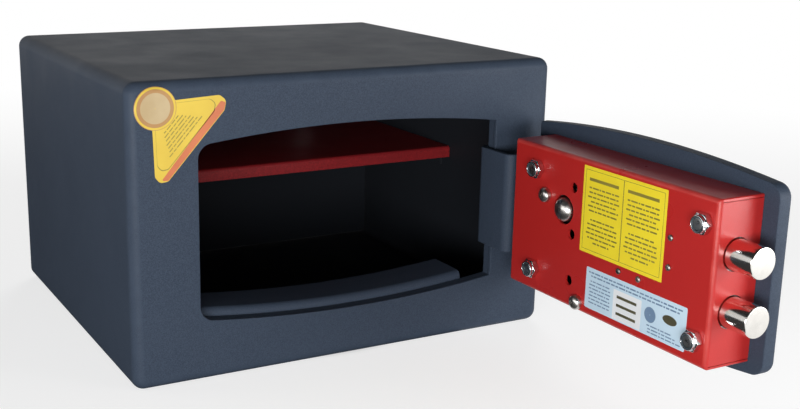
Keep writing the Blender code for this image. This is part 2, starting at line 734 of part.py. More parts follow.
def build_door_plate(door):
    """Thick plate with a rounded outer edge and a slanted hinge edge, bored for the two spindles."""
    rings = []
    for i in range(BEND_STEPS + 1):
        turn = math.pi / 2 * i / BEND_STEPS
        inset = DOOR_EDGE * (1 - math.sin(turn))
        outline = opening_outline(DOOR_GAP + inset, HINGE_GAP + inset)
        rings.append((outline, DOOR_FRONT + DOOR_EDGE * (1 - math.cos(turn))))
    rings.append((opening_outline(DOOR_GAP, hinge_edge_relief()), DOOR_BACK))
    points = [[(x, y, MID_Z + z) for x, z in outline] for outline, y in rings]
    plate = loft("door_plate", points, "slate", (PIVOT_X, PIVOT_Y, MID_Z))
    cut(plate, hole_cutter("plate_bores", "Y", spindle_holes(), DOOR_FRONT - SHEET, DOOR_BACK + SHEET))
    hang(plate, door)


def spindle_holes():
    """Running holes for the dial's and the knob's spindles."""
    dial = (DIAL_SPINDLE_RADIUS + RUNNING_GAP, (DIAL_X, KNOB_Z))
    knob = (SPINDLE_RADIUS + RUNNING_GAP, (KNOB_X, KNOB_Z))
    return [dial, knob]


def stud_places():
    """The four studs that hold the cover, near its corners."""
    hinge_side = KNOB_X + (COVER_RIGHT - KNOB_X) * STUD_HINGE_SHARE
    columns = (COVER_LEFT + STUD_FREE_MARGIN, hinge_side)
    rows = (MID_Z - STUD_RISE, MID_Z + STUD_RISE)
    return [(x, z) for x in columns for z in rows]


def cover_screw_places():
    """The upper and the lower pan-head screw."""
    upper = (KNOB_X + UPPER_SCREW_FROM_KNOB, KNOB_Z + UPPER_SCREW_RISE)
    lower = (KNOB_X - LOWER_SCREW_FROM_KNOB, LOWER_SCREW_Z)
    return [upper, lower]


def shield_frame():
    """The wheel shield's left, right, bottom and top edges, over the combination wheels."""
    left = DIAL_X - SHIELD_OFFSET - SHIELD_LENGTH / 2
    bottom = KNOB_Z - SHIELD_DROP - SHIELD_HEIGHT / 2
    return left, left + SHIELD_LENGTH, bottom, bottom + SHIELD_HEIGHT


def shield_screw_places():
    """Two screws along the shield's free end and two along its lower edge."""
    left, right, bottom, top = shield_frame()
    side = left + SHIELD_SCREW_INSET
    lower = bottom + SHIELD_SCREW_INSET
    centre = ((left + right) / 2, (bottom + top) / 2)
    half = SHIELD_SCREW_SPACING / 2
    return [
        (side, centre[1] + half),
        (side, centre[1] - half),
        (centre[0] - half, lower),
        (centre[0] + half, lower),
    ]


def build_cover(door):
    """Folded box over the lock, open towards the plate."""
    size = (COVER_LENGTH, COVER_DEPTH, COVER_HEIGHT)
    centre = (COVER_LEFT + COVER_LENGTH / 2, COVER_SEAT + COVER_DEPTH / 2, MID_Z)
    bend = COVER_INNER_BEND + COVER_SHEET
    cover = folded_box("lock_cover", size, centre, bend + SEAT, bend, "red")
    hollow = (COVER_LENGTH - 2 * COVER_SHEET, COVER_DEPTH, COVER_HEIGHT - 2 * COVER_SHEET)
    inside = (centre[0], centre[1] - COVER_SHEET, centre[2])
    corner = COVER_INNER_BEND + SEAT
    cut(cover, folded_box("cover_hollow", hollow, inside, corner, COVER_INNER_BEND, None))
    holes = [(STUD_DIAMETER / 2 + HOLE_GAP, place) for place in stud_places()]
    holes += [(SCREW_SHANK_RADIUS + HOLE_GAP, place) for place in cover_screw_places()]
    holes += [(SHIELD_SCREW_RADIUS + HOLE_GAP, place) for place in shield_screw_places()]
    sight_z = MID_Z - SIGHT_DROP
    holes += [(SIGHT_HOLE / 2, (KNOB_X - SIGHT_OFFSET, sight_z + i * SIGHT_SPACING)) for i in (-1, 0, 1)]
    holes += [(CAP_HOLE / 2, (KNOB_X, KNOB_Z))]
    low, high = COVER_INSIDE - COVER_SHEET, COVER_FACE + COVER_SHEET
    cut(cover, hole_cutter("cover_face_holes", "Y", holes, low, high))
    bores = [(BOLT_DIAMETER / 2 + STRIKE_HOLE_GAP, (BOLT_Y, level)) for level in BOLT_LEVELS]
    end = COVER_LEFT + 2 * COVER_SHEET
    cut(cover, hole_cutter("cover_bolt_holes", "X", bores, COVER_LEFT - COVER_SHEET, end, ROUND_SIDES))
    hang(cover, door)


def build_cover_fasteners(door):
    """Studs with locking nuts, pillars with pan-head screws, and the shield with its screws."""
    seat = COVER_FACE + SEAT
    hex_end = seat + NUT_HEX
    nut_end = hex_end + NUT_COLLAR
    stud = [(STUD_DIAMETER / 2, COVER_SEAT), (STUD_DIAMETER / 2, nut_end - STUD_RECESS)]
    turned_set("cover_stud", stud, stud_places(), "steel", door)
    for i, place in enumerate(stud_places(), 1):
        outline = hexagon(NUT_ACROSS_FLATS, place)
        nut = prism(f"cover_nut_{i}", outline, "Y", seat, hex_end, "nickel", (place[0], seat, place[1]))
        collar = circle(NUT_COLLAR_RADIUS, SMALL_SIDES, place)
        join(nut, prism(f"nut_collar_{i}", collar, "Y", seat + NUT_HEX / 2, nut_end, None))
        bore = [(STUD_DIAMETER / 2 + SEAT, place)]
        cut(nut, hole_cutter(f"nut_bore_{i}", "Y", bore, seat - NUT_HEX, nut_end + NUT_HEX))
        hang(nut, door)

    pillar_top = COVER_INSIDE - SEAT
    screw_end = COVER_FACE - SCREW_SHANK
    bore = SCREW_SHANK_RADIUS + SEAT
    pillar = [
        (PILLAR_RADIUS, COVER_SEAT),
        (PILLAR_RADIUS, pillar_top),
        (bore, pillar_top),
        (bore, screw_end - SEAT),
    ]
    turned_set("cover_pillar", pillar, cover_screw_places(), "steel", door)
    screw = [
        (SCREW_SHANK_RADIUS, screw_end),
        (SCREW_SHANK_RADIUS, seat),
        (SCREW_HEAD_RADIUS, seat),
    ]
    screw += [(SCREW_HEAD_RADIUS * r, seat + SCREW_HEAD * level) for r, level in PAN_HEAD_PROFILE]
    turned_set("cover_screw", screw, cover_screw_places(), "nickel", door)

    shield_back = COVER_INSIDE - SEAT
    shield_front = shield_back - SHIELD_SHEET
    shield = prism("wheel_shield", rectangle(*shield_frame()), "Y", shield_front, shield_back, "steel")
    bores = [(SHIELD_SCREW_RADIUS + SEAT, place) for place in shield_screw_places()]
    low, high = shield_front - SHIELD_SHEET, shield_back + SHIELD_SHEET
    cut(shield, hole_cutter("shield_bores", "Y", bores, low, high, TINY_SIDES))
    hang(shield, door)
    small = [
        (SHIELD_SCREW_RADIUS, shield_front - SHIELD_SHEET),
        (SHIELD_SCREW_RADIUS, seat),
        (SHIELD_SCREW_HEAD_RADIUS, seat),
        (SHIELD_SCREW_HEAD_RADIUS * SHIELD_SCREW_CROWN, seat + SHIELD_SCREW_HEAD),
    ]
    turned_set("shield_screw", small, shield_screw_places(), "steel", door, TINY_SIDES)


def build_drill_plate(door):
    """Hard plate on the inside of the door behind the dial and the knob."""
    left = DIAL_X - WHEEL_RADIUS
    right = KNOB_X + DRILL_PLATE_EDGE
    half = DRILL_PLATE_HEIGHT / 2
    outline = rectangle(left, right, KNOB_Z - half, KNOB_Z + half)
    plate = prism("drill_plate", outline, "Y", COVER_SEAT, DRILL_PLATE_BACK, "steel")
    low, high = COVER_SEAT - DRILL_PLATE, DRILL_PLATE_BACK + DRILL_PLATE
    cut(plate, hole_cutter("drill_plate_bores", "Y", spindle_holes(), low, high))
    hang(plate, door)


def build_bolt_guide(door):
    """Angle on the plate, just inside the cover's free end, that carries both bolts."""
    face = COVER_LEFT + COVER_SHEET + GUIDE_INSET
    middle = GUIDE_SHEET / 2
    depth = BOLT_Y + BOLT_DIAMETER / 2 + (COVER_INSIDE - BOLT_Y - BOLT_DIAMETER / 2) / 2
    line = [
        (face + GUIDE_FOOT, COVER_SEAT + middle),
        (face + middle, COVER_SEAT + middle),
        (face + middle, depth),
    ]
    low = BOLT_LEVELS[0] - BOLT_DIAMETER / 2 - GUIDE_EDGE
    high = BOLT_LEVELS[1] + BOLT_DIAMETER / 2 + GUIDE_EDGE
    guide = prism("bolt_guide", bent_strip(line, GUIDE_SHEET, GUIDE_SHEET), "Z", low, high, "steel")
    holes = [(BOLT_DIAMETER / 2 + RUNNING_GAP, (BOLT_Y, level)) for level in BOLT_LEVELS]
    end = face + 2 * GUIDE_SHEET
    cut(guide, hole_cutter("guide_holes", "X", holes, face - GUIDE_SHEET, end, ROUND_SIDES))
    hang(guide, door)


def guide_stud_places():
    """The two studs that carry the carriage, between the bolt bar and the fork."""
    middle = (BAR_BACK_X + KNOB_X) / 2
    return [(middle - GUIDE_STUD_SPACING / 2, SLIDE_SLOT_Z), (middle + GUIDE_STUD_SPACING / 2, SLIDE_SLOT_Z)]


def build_guide_studs(door):
    """Shouldered studs: a thick foot, a neck in the carriage's slot and a head behind it."""
    neck_end = CARRIAGE_BACK + SEAT
    profile = [
        (GUIDE_STUD_SHOULDER, COVER_SEAT),
        (GUIDE_STUD_SHOULDER, CARRIAGE_FRONT - SEAT),
        (GUIDE_STUD_RADIUS, CARRIAGE_FRONT - SEAT),
        (GUIDE_STUD_RADIUS, neck_end),
        (GUIDE_STUD_HEAD_RADIUS, neck_end),
        (GUIDE_STUD_HEAD_RADIUS, neck_end + GUIDE_STUD_HEAD),
    ]
    turned_set("guide_stud", profile, guide_stud_places(), "steel", door)


# Bolt carriage

def build_bolts(door):
    """Two round bolts with a small chamfer and a riveted tail through the bar."""
    radius = BOLT_DIAMETER / 2
    profile = [
        (radius - BOLT_CHAMFER, BOLT_TIP),
        (radius, BOLT_TIP + BOLT_CHAMFER),
        (radius, BOLT_END),
        (TAIL_RADIUS, BOLT_END),
        (TAIL_RADIUS, BAR_BACK_X + TAIL_END),
    ]
    for name, level in zip(("bolt_lower", "bolt_upper"), BOLT_LEVELS):
        hang(turned(name, profile, "X", (BOLT_Y, level), "nickel"), door)

    low = BOLT_LEVELS[0] - BAR_OVERHANG
    high = BOLT_LEVELS[1] + BAR_OVERHANG
    half = BAR_WIDTH / 2
    outline = rectangle(BOLT_Y - half, BOLT_Y + half, low, high)
    bar = prism("bolt_bar", outline, "X", BAR_FRONT_X, BAR_BACK_X, "steel")
    holes = [(TAIL_RADIUS + SEAT, (BOLT_Y, level)) for level in BOLT_LEVELS]
    cut(bar, hole_cutter("bar_holes", "X", holes, BAR_FRONT_X - SHEET, BAR_BACK_X + SHEET))
    hang(bar, door)


def crank_pin_place():
    """The crank pin with the bolts thrown, at the free-side end of its swing below the spindle."""
    return (
        KNOB_X - CRANK_ARM * math.sin(CRANK_HALF_SWING),
        KNOB_Z - CRANK_ARM * math.cos(CRANK_HALF_SWING),
    )


def build_carriage(door):
    """Slotted plate that ties the bolt bar to the crank, with the fence on its upright tab."""
    left = BAR_BACK_X + SEAT
    step = left + CARRIAGE_STEP
    tab_right = FENCE_ROOT - SEAT
    tab_left = max(step, tab_right - TAB_WIDTH)
    neck = BOLT_RISE - TAIL_RADIUS - CARRIAGE_TAIL_GAP
    tab_top = KNOB_Z + FENCE_THICKNESS
    pin_x, pin_z = crank_pin_place()
    fork_top = KNOB_Z - SPINDLE_RADIUS - 2 * SLIDE_GAP
    slot_half = CRANK_PIN_RADIUS + SLIDE_GAP
    slot_floor = KNOB_Z - CRANK_ARM - CRANK_PIN_RADIUS - 2 * SLIDE_GAP
    fork_left = pin_x - FORK_WIDTH / 2
    fork_right = pin_x + FORK_WIDTH / 2
    outline = [
        (left, MID_Z - neck),
        (step, MID_Z - neck),
        (step, CARRIAGE_BOTTOM),
        (fork_right, CARRIAGE_BOTTOM),
        (fork_right, fork_top),
        (pin_x + slot_half, fork_top),
        (pin_x + slot_half, slot_floor),
        (pin_x - slot_half, slot_floor),
        (pin_x - slot_half, fork_top),
        (fork_left, fork_top),
        (fork_left, CARRIAGE_BAR_TOP),
        (tab_right, CARRIAGE_BAR_TOP),
        (tab_right, tab_top),
        (tab_left, tab_top),
        (tab_left, MID_Z + neck),
        (left, MID_Z + neck),
    ]
    plate = prism("carriage_plate", outline, "Y", CARRIAGE_FRONT, CARRIAGE_BACK, "steel")
    half = GUIDE_STUD_RADIUS + SLIDE_GAP
    slots = []
    for x, z in guide_stud_places():
        rear = arc((x, z), half, -math.pi / 2, math.pi / 2, 2 * BEND_STEPS)
        front = arc((x - BOLT_TRAVEL - SLIDE_GAP, z), half, math.pi / 2, 3 * math.pi / 2, 2 * BEND_STEPS)
        slots.append(rear + front)
    cut(plate, cutter("carriage_slots", slots, "Y", CARRIAGE_FRONT - SHEET, CARRIAGE_BACK + SHEET))
    hang(plate, door)

    half = FENCE_THICKNESS / 2
    outline = rectangle(FENCE_ROOT, FENCE_TIP, KNOB_Z - half, KNOB_Z + half)
    hang(prism("fence", outline, "Y", FIRST_WHEEL, LAST_WHEEL_BACK, "brass"), door)


# Knob

def build_knob(door):
    """Front knob, its rosette, spindle and bush, the crank inside and the domed end cap."""
    centre = (KNOB_X, KNOB_Z)
    bore = SPINDLE_RADIUS + RUNNING_GAP
    rosette_back = DOOR_FRONT - SEAT
    rosette_front = rosette_back - ROSETTE_THICKNESS
    rosette = [
        (ROSETTE_RADIUS - ROSETTE_THICKNESS / 2, rosette_front),
        (ROSETTE_RADIUS, rosette_front + ROSETTE_THICKNESS / 2),
        (ROSETTE_RADIUS, rosette_back),
        (bore, rosette_back),
        (bore, rosette_front),
    ]
    hang(turned("knob_rosette", rosette, "Y", centre, "nickel", closed=True), door)

    base = rosette_front - SEAT
    tip = base - KNOB_LENGTH
    neck = base - KNOB_NECK
    profile = [
        (KNOB_CROWN_RADIUS, tip),
        (KNOB_RADIUS - KNOB_RIM, tip + KNOB_CROWN),
        (KNOB_RADIUS, tip + KNOB_CROWN + KNOB_RIM),
        (KNOB_RADIUS, neck - KNOB_RIM),
        (KNOB_RADIUS - KNOB_RIM, neck),
        (KNOB_NECK_RADIUS, neck),
        (KNOB_NECK_RADIUS, base),
    ]
    hang(turned("knob", profile, "Y", centre, "nickel"), door)

    spindle_end = COVER_INSIDE - SEAT
    spindle = [(SPINDLE_RADIUS, base + SEAT), (SPINDLE_RADIUS, spindle_end)]
    hang(turned("knob_spindle", spindle, "Y", centre, "steel", SMALL_SIDES), door)

    bush_front = DRILL_PLATE_BACK + SEAT
    bush = ring_profile(BUSH_RADIUS, bore, bush_front, bush_front + BUSH_LENGTH)
    hang(turned("knob_bush", bush, "Y", centre, "brass", SMALL_SIDES, closed=True), door)

    crank = turned(
        "crank", ring_profile(CRANK_RADIUS, bore, CRANK_FRONT, CRANK_BACK), "Y", centre, "steel", closed=True
    )
    pin = circle(CRANK_PIN_RADIUS, SMALL_SIDES, crank_pin_place())
    join(crank, prism("crank_pin", pin, "Y", CRANK_BACK - CRANK_THICKNESS / 2, CARRIAGE_BACK + SEAT, None))
    hang(crank, door)

    rim_front = spindle_end + SEAT
    rim_back = rim_front + CAP_RIM
    rise = CAP_HEIGHT - CAP_RIM
    dome = [(CAP_RADIUS, rim_front)]
    for across, lift in arc((0, 0), 1, 0, math.pi / 2, BEND_STEPS):
        dome.append((CAP_FLAT_RADIUS + (CAP_RADIUS - CAP_FLAT_RADIUS) * across, rim_back + rise * lift))
    hang(turned("spindle_cap", dome, "Y", centre, "nickel"), door)


# Dial and combination wheels

def build_dial(door):
    """Front dial with its ring and spindle, and the disc inside that drives the wheels."""
    centre = (DIAL_X, KNOB_Z)
    ring_back = DOOR_FRONT - SEAT
    ring_front = ring_back - DIAL_RING_THICKNESS
    inner = DIAL_RADIUS + RUNNING_GAP
    ring = [
        (DIAL_RING_RADIUS - DIAL_RING_THICKNESS / 2, ring_front),
        (DIAL_RING_RADIUS, ring_front + DIAL_RING_THICKNESS / 2),
        (DIAL_RING_RADIUS, ring_back),
        (inner, ring_back),
        (inner, ring_front),
    ]
    hang(turned("dial_ring", ring, "Y", centre, "steel", closed=True), door)

    flange_front = ring_back - DIAL_FLANGE
    tip = flange_front - DIAL_GRIP
    slope = DIAL_FLANGE / 2
    profile = [
        (DIAL_GRIP_RADIUS - DIAL_GRIP_BEVEL, tip),
        (DIAL_GRIP_RADIUS, tip + DIAL_GRIP_BEVEL),
        (DIAL_GRIP_RADIUS, flange_front),
        (DIAL_RADIUS - slope, flange_front),
        (DIAL_RADIUS, flange_front + slope),
        (DIAL_RADIUS, ring_back),
    ]
    hang(turned("dial", profile, "Y", centre, "black"), door)

    spindle = [(DIAL_SPINDLE_RADIUS, ring_back + SEAT), (DIAL_SPINDLE_RADIUS, DRIVE_BACK + SEAT)]
    hang(turned("dial_spindle", spindle, "Y", centre, "steel", SMALL_SIDES), door)

    bore = DIAL_SPINDLE_RADIUS + SEAT
    disc_ring = ring_profile(DRIVE_DISC_RADIUS, bore, DRIVE_FRONT, DRIVE_BACK)
    disc = turned("drive_disc", disc_ring, "Y", centre, "brass", closed=True)
    pin = fly_pin(2 * WHEEL_COUNT - 1)
    reach = DRIVE_FRONT - FLY_REACH
    join(disc, prism("drive_pin", pin, "Y", reach, DRIVE_FRONT + DRIVE_DISC_THICKNESS / 2, None))
    hang(disc, door)


def fly_pin(index):
    """Outline of a pick-up pin. Facing pins share one radius but are too short to meet."""
    turn = (index // 2) * FLY_STEP + (index % 2) * FLY_OFFSET
    place = (DIAL_X + FLY_RADIUS * math.cos(turn), KNOB_Z + FLY_RADIUS * math.sin(turn))
    return circle(FLY_PIN_RADIUS, TINY_SIDES, place)


def build_wheels(door):
    """Post with three gated wheels that turn freely on it, spacers between and a ring at the end."""
    centre = (DIAL_X, KNOB_Z)
    inner = DIAL_SPINDLE_RADIUS + RUNNING_GAP
    flange_back = POST_FRONT + POST_FLANGE
    post = [
        (POST_FLANGE_RADIUS, POST_FRONT),
        (POST_FLANGE_RADIUS, flange_back),
        (POST_RADIUS, flange_back),
        (POST_RADIUS, POST_BACK),
        (inner, POST_BACK),
        (inner, POST_FRONT),
    ]
    hang(turned("wheel_post", post, "Y", centre, "brass", SMALL_SIDES, closed=True), door)

    bore = POST_RADIUS + RUNNING_GAP
    gate_half = FENCE_THICKNESS / 2 + FENCE_GATE_GAP
    gate_left = DIAL_X - WHEEL_RADIUS - FENCE_WHEEL_GAP
    gate = rectangle(gate_left, DIAL_X - GATE_FLOOR_RADIUS, KNOB_Z - gate_half, KNOB_Z + gate_half)
    for i in range(WHEEL_COUNT):
        front = FIRST_WHEEL + i * WHEEL_PITCH
        back = front + WHEEL_THICKNESS
        name = f"wheel_{i + 1}"
        wheel = turned(name, ring_profile(WHEEL_RADIUS, bore, front, back), "Y", centre, "brass", closed=True)
        cut(wheel, prism(name + "_gate", gate, "Y", front - SEAT, back + SEAT, None))
        middle = (front + back) / 2
        join(wheel, prism(name + "_rear_fly", fly_pin(2 * i), "Y", middle, back + FLY_REACH, None))
        if i > 0:
            join(wheel, prism(name + "_front_fly", fly_pin(2 * i - 1), "Y", front - FLY_REACH, middle, None))
        hang(wheel, door)

    for i in range(WHEEL_COUNT - 1):
        low = FIRST_WHEEL + i * WHEEL_PITCH + WHEEL_THICKNESS + SEAT
        spacer = ring_profile(SPACER_RADIUS, bore, low, low + SPACER_THICKNESS)
        name = f"wheel_spacer_{i + 1}"
        hang(turned(name, spacer, "Y", centre, "steel", SMALL_SIDES, closed=True), door)
    retainer = ring_profile(SPACER_RADIUS, bore, LAST_WHEEL_BACK + SEAT, POST_BACK)
    hang(turned("wheel_retainer", retainer, "Y", centre, "steel", SMALL_SIDES, closed=True), door)


def main():
    """Clear the scene and build the safe."""
    for old in list(bpy.data.objects):
        bpy.data.objects.remove(old, do_unlink=True)

    build_shell()
    build_front_frame()
    build_back_panel()
    build_sill()
    build_strike()
    build_shelf()
    build_hinge_lugs()
    build_hinge_pin()

    door = bpy.data.objects.new("door_axis", None)
    door.location = (PIVOT_X, PIVOT_Y, 0)
    door.rotation_euler = (0, 0, DOOR_OPEN_ANGLE)
    bpy.context.scene.collection.objects.link(door)
    build_door_plate(door)
    build_hinge_arm(door)
    build_cover(door)
    build_cover_fasteners(door)
    build_drill_plate(door)
    build_bolt_guide(door)
    build_guide_studs(door)
    build_bolts(door)
    build_carriage(door)
    build_knob(door)
    build_dial(door)
    build_wheels(door)


main()
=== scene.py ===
"""Looks of a small steel safe with its door swung open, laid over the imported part.

Metres, +Z up, the front faces -Y. Surfaces are worked out with numpy as rings of points. Door
pieces are worked out as they lie with the door shut, then turned open about the hinge pin.
"""

import json
import math

import bmesh
import bpy
import numpy as np
from mathutils import Matrix, Vector

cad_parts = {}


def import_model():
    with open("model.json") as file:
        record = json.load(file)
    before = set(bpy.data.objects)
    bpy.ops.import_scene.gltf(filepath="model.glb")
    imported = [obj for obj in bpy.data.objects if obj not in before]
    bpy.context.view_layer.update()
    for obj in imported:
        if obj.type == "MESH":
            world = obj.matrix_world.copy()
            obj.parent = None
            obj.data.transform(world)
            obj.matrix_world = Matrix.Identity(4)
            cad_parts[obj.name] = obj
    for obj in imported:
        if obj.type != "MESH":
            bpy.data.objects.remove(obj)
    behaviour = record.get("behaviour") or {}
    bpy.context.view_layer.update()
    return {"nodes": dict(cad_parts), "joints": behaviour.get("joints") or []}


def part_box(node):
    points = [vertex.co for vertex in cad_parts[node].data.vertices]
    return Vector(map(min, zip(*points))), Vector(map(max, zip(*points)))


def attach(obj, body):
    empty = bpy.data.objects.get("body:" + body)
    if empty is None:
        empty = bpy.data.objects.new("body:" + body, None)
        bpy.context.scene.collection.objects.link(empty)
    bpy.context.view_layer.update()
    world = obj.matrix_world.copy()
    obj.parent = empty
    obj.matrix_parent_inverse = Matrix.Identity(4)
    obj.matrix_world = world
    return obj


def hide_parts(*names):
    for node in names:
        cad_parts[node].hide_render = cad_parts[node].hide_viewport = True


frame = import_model()

MM = 0.001

# Sizes that the part's own boxes don't give
SHEET = 3 * MM
SEAT = 0.3 * MM
SIDE_BEND = 9 * MM
SIDE_INNER_BEND = 6 * MM
FRONT_BEND = 7.65 * MM
JAMB_X = 124.5 * MM
OPENING_SIDE_HEIGHT = 127 * MM
OPENING_RISE = 8 * MM
OPENING_CORNER = 11 * MM
OPENING_HINGE_CORNER = 1.5 * MM
OPENING_EDGE = 0.6 * MM
ANCHOR_X = 100 * MM
ANCHOR_HOLE = 6 * MM
SILL_SHEET = 3 * MM
SILL_BEND = 3.5 * MM
SHELF_SHEET = 1.5 * MM
SHELF_BEND = 2 * MM
DOOR_GAP = 1.2 * MM
HINGE_GAP = 1.6 * MM
HINGE_RELIEF = 5.57 * MM
DOOR_EDGE = 4 * MM
DOOR_BACK_EDGE = 0.5 * MM
ARM_SHEET = 4 * MM
ARM_BEND = 5 * MM
ARM_CLEARANCE = 6.5 * MM
ARM_FOOT = 8.5 * MM
KNUCKLE_RADIUS = 5.5 * MM
PIN_BORE = 3.3 * MM
COVER_SHEET = 2 * MM
COVER_BEND = 3 * MM
COVER_CORNER = 1.2 * MM
COVER_SEAM = 0.5 * MM
CAP_HOLE = 10.8 * MM
SIGHT_HOLE = 3.8 * MM
SIGHT_SPACING = 34.5 * MM
SIGHT_DROP = 1.6 * MM
SIGHT_OFFSET = 10 * MM
STUD_HOLE = 4.4 * MM
SCREW_HOLE = 2.9 * MM
SHIELD_SCREW_HOLE = 1.6 * MM
BOLT_HOLE = 11.3 * MM
CAP_RIM = 1 * MM
BOLT_SHAFT = 41 * MM
BOLT_TAIL = 5 * MM
SUPPORT = 0.6 * MM
PAPER = 0.12 * MM
INK = 0.05 * MM
SUNK = 0.02 * MM
DASHES = np.array([4.2, 2.1, 5.6, 3.1, 1.6, 6.3, 2.7, 3.8]) * MM
DASH_GAP = 0.9 * MM

# Resolution of the surfaces
SIDE_STEPS = 6
CORNER_STEPS = 10
ARCH_STEPS = 40
BEND_STEPS = 10
ROUND_SIDES = 96
SMOOTH_ANGLE = math.radians(32)
SOFTEN_ANGLE = math.radians(40)

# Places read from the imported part
BODY_LOW, BODY_HIGH = (np.array(corner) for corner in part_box("cabinet_shell"))
FRONT, REAR = BODY_LOW[1], BODY_HIGH[1]
HALF_WIDTH = BODY_HIGH[0]
HALF_HEIGHT = (BODY_HIGH[2] - BODY_LOW[2]) / 2
MID_Z = (BODY_HIGH[2] + BODY_LOW[2]) / 2
OPENING_APEX = OPENING_SIDE_HEIGHT / 2 + OPENING_RISE
ARCH_RADIUS = (JAMB_X**2 + OPENING_RISE**2) / (2 * OPENING_RISE)
JOINTS = {joint["name"]: joint for joint in frame["joints"]}
PIVOT_X, PIVOT_Y = JOINTS["door_swing"]["pos_m"][:2]


# Outlines in one plane, as arrays of two columns

def line(start, end, steps):
    """Points at even steps from start to end."""
    share = np.linspace(0, 1, steps + 1)[:, None]
    return np.array(start) * (1 - share) + np.array(end) * share


def arc(centre, radius, start, end, steps):
    """Points at even turns round a centre, from one turn to the other."""
    turn = np.linspace(start, end, steps + 1)
    return np.stack([centre[0] + radius * np.cos(turn), centre[1] + radius * np.sin(turn)], -1)


def mirrored(upper):
    """A closed loop from its upper half: the same points again with their height turned over."""
    return np.concatenate([upper, upper[-2:0:-1] * (1, -1)])


def barrel_loop(inset=0.0, right_inset=None):
    """The door opening drawn in by an inset: upright sides, corner arcs and a bowed top and bottom.

    A corner's centre lies on the circle about the bow's centre whose radius is bow less corner,
    so that the corner's arc touches both the upright side and the bow. The hinge side's corners
    keep one small radius.
    """
    right_inset = inset if right_inset is None else right_inset
    left, right = inset - JAMB_X, JAMB_X - right_inset
    corner, small, bow = OPENING_CORNER - inset, OPENING_HINGE_CORNER, ARCH_RADIUS - inset
    bow_centre = OPENING_APEX - ARCH_RADIUS
    right_rise = math.sqrt((bow - small) ** 2 - (right - small) ** 2)
    left_rise = math.sqrt((bow - corner) ** 2 - (left + corner) ** 2)
    right_turn = math.atan2(right_rise, right - small)
    left_turn = math.atan2(left_rise, left + corner)
    right_z, left_z = bow_centre + right_rise, bow_centre + left_rise
    return mirrored(np.concatenate([
        line((right, 0), (right, right_z), SIDE_STEPS)[:-1],
        arc((right - small, right_z), small, 0, right_turn, CORNER_STEPS)[:-1],
        arc((0, bow_centre), bow, right_turn, left_turn, ARCH_STEPS)[:-1],
        arc((left + corner, left_z), corner, left_turn, math.pi, CORNER_STEPS)[:-1],
        line((left, left_z), (left, 0), SIDE_STEPS),
    ]))


def box_loop(half_width, half_height, corner):
    """A rectangle with round corners, with as many points as the opening's loop has."""
    side, top = half_width - corner, half_height - corner
    return mirrored(np.concatenate([
        line((half_width, 0), (half_width, top), SIDE_STEPS)[:-1],
        arc((side, top), corner, 0, math.pi / 2, CORNER_STEPS)[:-1],
        line((side, half_height), (-side, half_height), ARCH_STEPS)[:-1],
        arc((-side, top), corner, math.pi / 2, math.pi, CORNER_STEPS)[:-1],
        line((-half_width, top), (-half_width, 0), SIDE_STEPS),
    ]))


def filleted(points, radii, steps=BEND_STEPS):
    """A bent line whose corners are arcs: each arc turns from the tangent point on one side of its
    corner to that on the other, about the centre that lies on the corner's bisector."""
    points = np.array(points, float)
    at = points[1:-1]
    towards, onwards = points[:-2] - at, points[2:] - at
    towards /= np.linalg.norm(towards, axis=1, keepdims=True)
    onwards /= np.linalg.norm(onwards, axis=1, keepdims=True)
    half = np.arccos(np.clip((towards * onwards).sum(1), -1, 1))[:, None] / 2
    radii = np.broadcast_to(np.array(radii, float).reshape(-1, 1), half.shape)
    bisector = towards + onwards
    bisector /= np.linalg.norm(bisector, axis=1, keepdims=True)
    centre = at + bisector * radii / np.sin(half)
    start = at + towards * radii / np.tan(half) - centre
    end = at + onwards * radii / np.tan(half) - centre
    sweep = (math.pi - 2 * half)[:, None]
    share = np.linspace(0, 1, steps + 1)[None, :, None]
    swung = np.sin((1 - share) * sweep) * start[:, None] + np.sin(share * sweep) * end[:, None]
    arcs = centre[:, None] + swung / np.sin(sweep)
    return np.concatenate([points[:1], arcs.reshape(-1, 2), points[-1:]])


def strip_loop(path, thickness):
    """Both sides of a bent line: each point is moved half the thickness along the line's normal."""
    ahead = np.diff(path, axis=0)
    ahead /= np.linalg.norm(ahead, axis=1, keepdims=True)
    along = np.concatenate([ahead[:1], ahead[:-1] + ahead[1:], ahead[-1:]])
    along /= np.linalg.norm(along, axis=1, keepdims=True)
    side = np.stack([-along[:, 1], along[:, 0]], -1) * thickness / 2
    return np.concatenate([path + side, (path - side)[::-1]])


# Surfaces, as (points, faces, wear at each point)

def placed(across, up, level, axis):
    """Plane places and a level along an axis as points in space."""
    across, up, level = np.broadcast_arrays(across, up, level)
    order = {"X": (level, across, up), "Y": (across, level, up), "Z": (across, up, level)}
    return np.stack(order[axis], -1)


def skin(rings, closed=False, worn=()):
    """Quads between matching rings, with the two end rings filled unless the rings close up."""
    rings = np.asarray(rings, float)
    count, around = rings.shape[:2]
    index = np.arange(count * around).reshape(count, around)
    rows = np.concatenate([index, index[:1]]) if closed else index
    here, there = rows[:-1], rows[1:]
    quads = np.stack([here, np.roll(here, -1, 1), np.roll(there, -1, 1), there], -1)
    faces = quads.reshape(-1, 4).tolist()
    if not closed:
        faces += [index[0, ::-1].tolist(), index[-1].tolist()]
    wear = np.zeros(count)
    wear[list(worn)] = 1
    return rings.reshape(-1, 3), faces, np.repeat(wear, around)


def turned(profile, centre, axis, sides=ROUND_SIDES, closed=False, worn=()):
    """A profile of (radius, level) pairs carried once round an axis."""
    profile = np.array(profile, float)
    turn = 2 * math.pi * np.arange(sides) / sides
    radius, level = profile[:, :1], profile[:, 1:]
    rings = placed(centre[0] + radius * np.cos(turn), centre[1] + radius * np.sin(turn), level, axis)
    return skin(rings, closed, worn)


def extruded(outline, axis, low, high):
    """An outline carried straight along an axis."""
    levels = np.array([low, high])[:, None]
    return skin(placed(outline[None, :, 0], outline[None, :, 1], levels, axis))


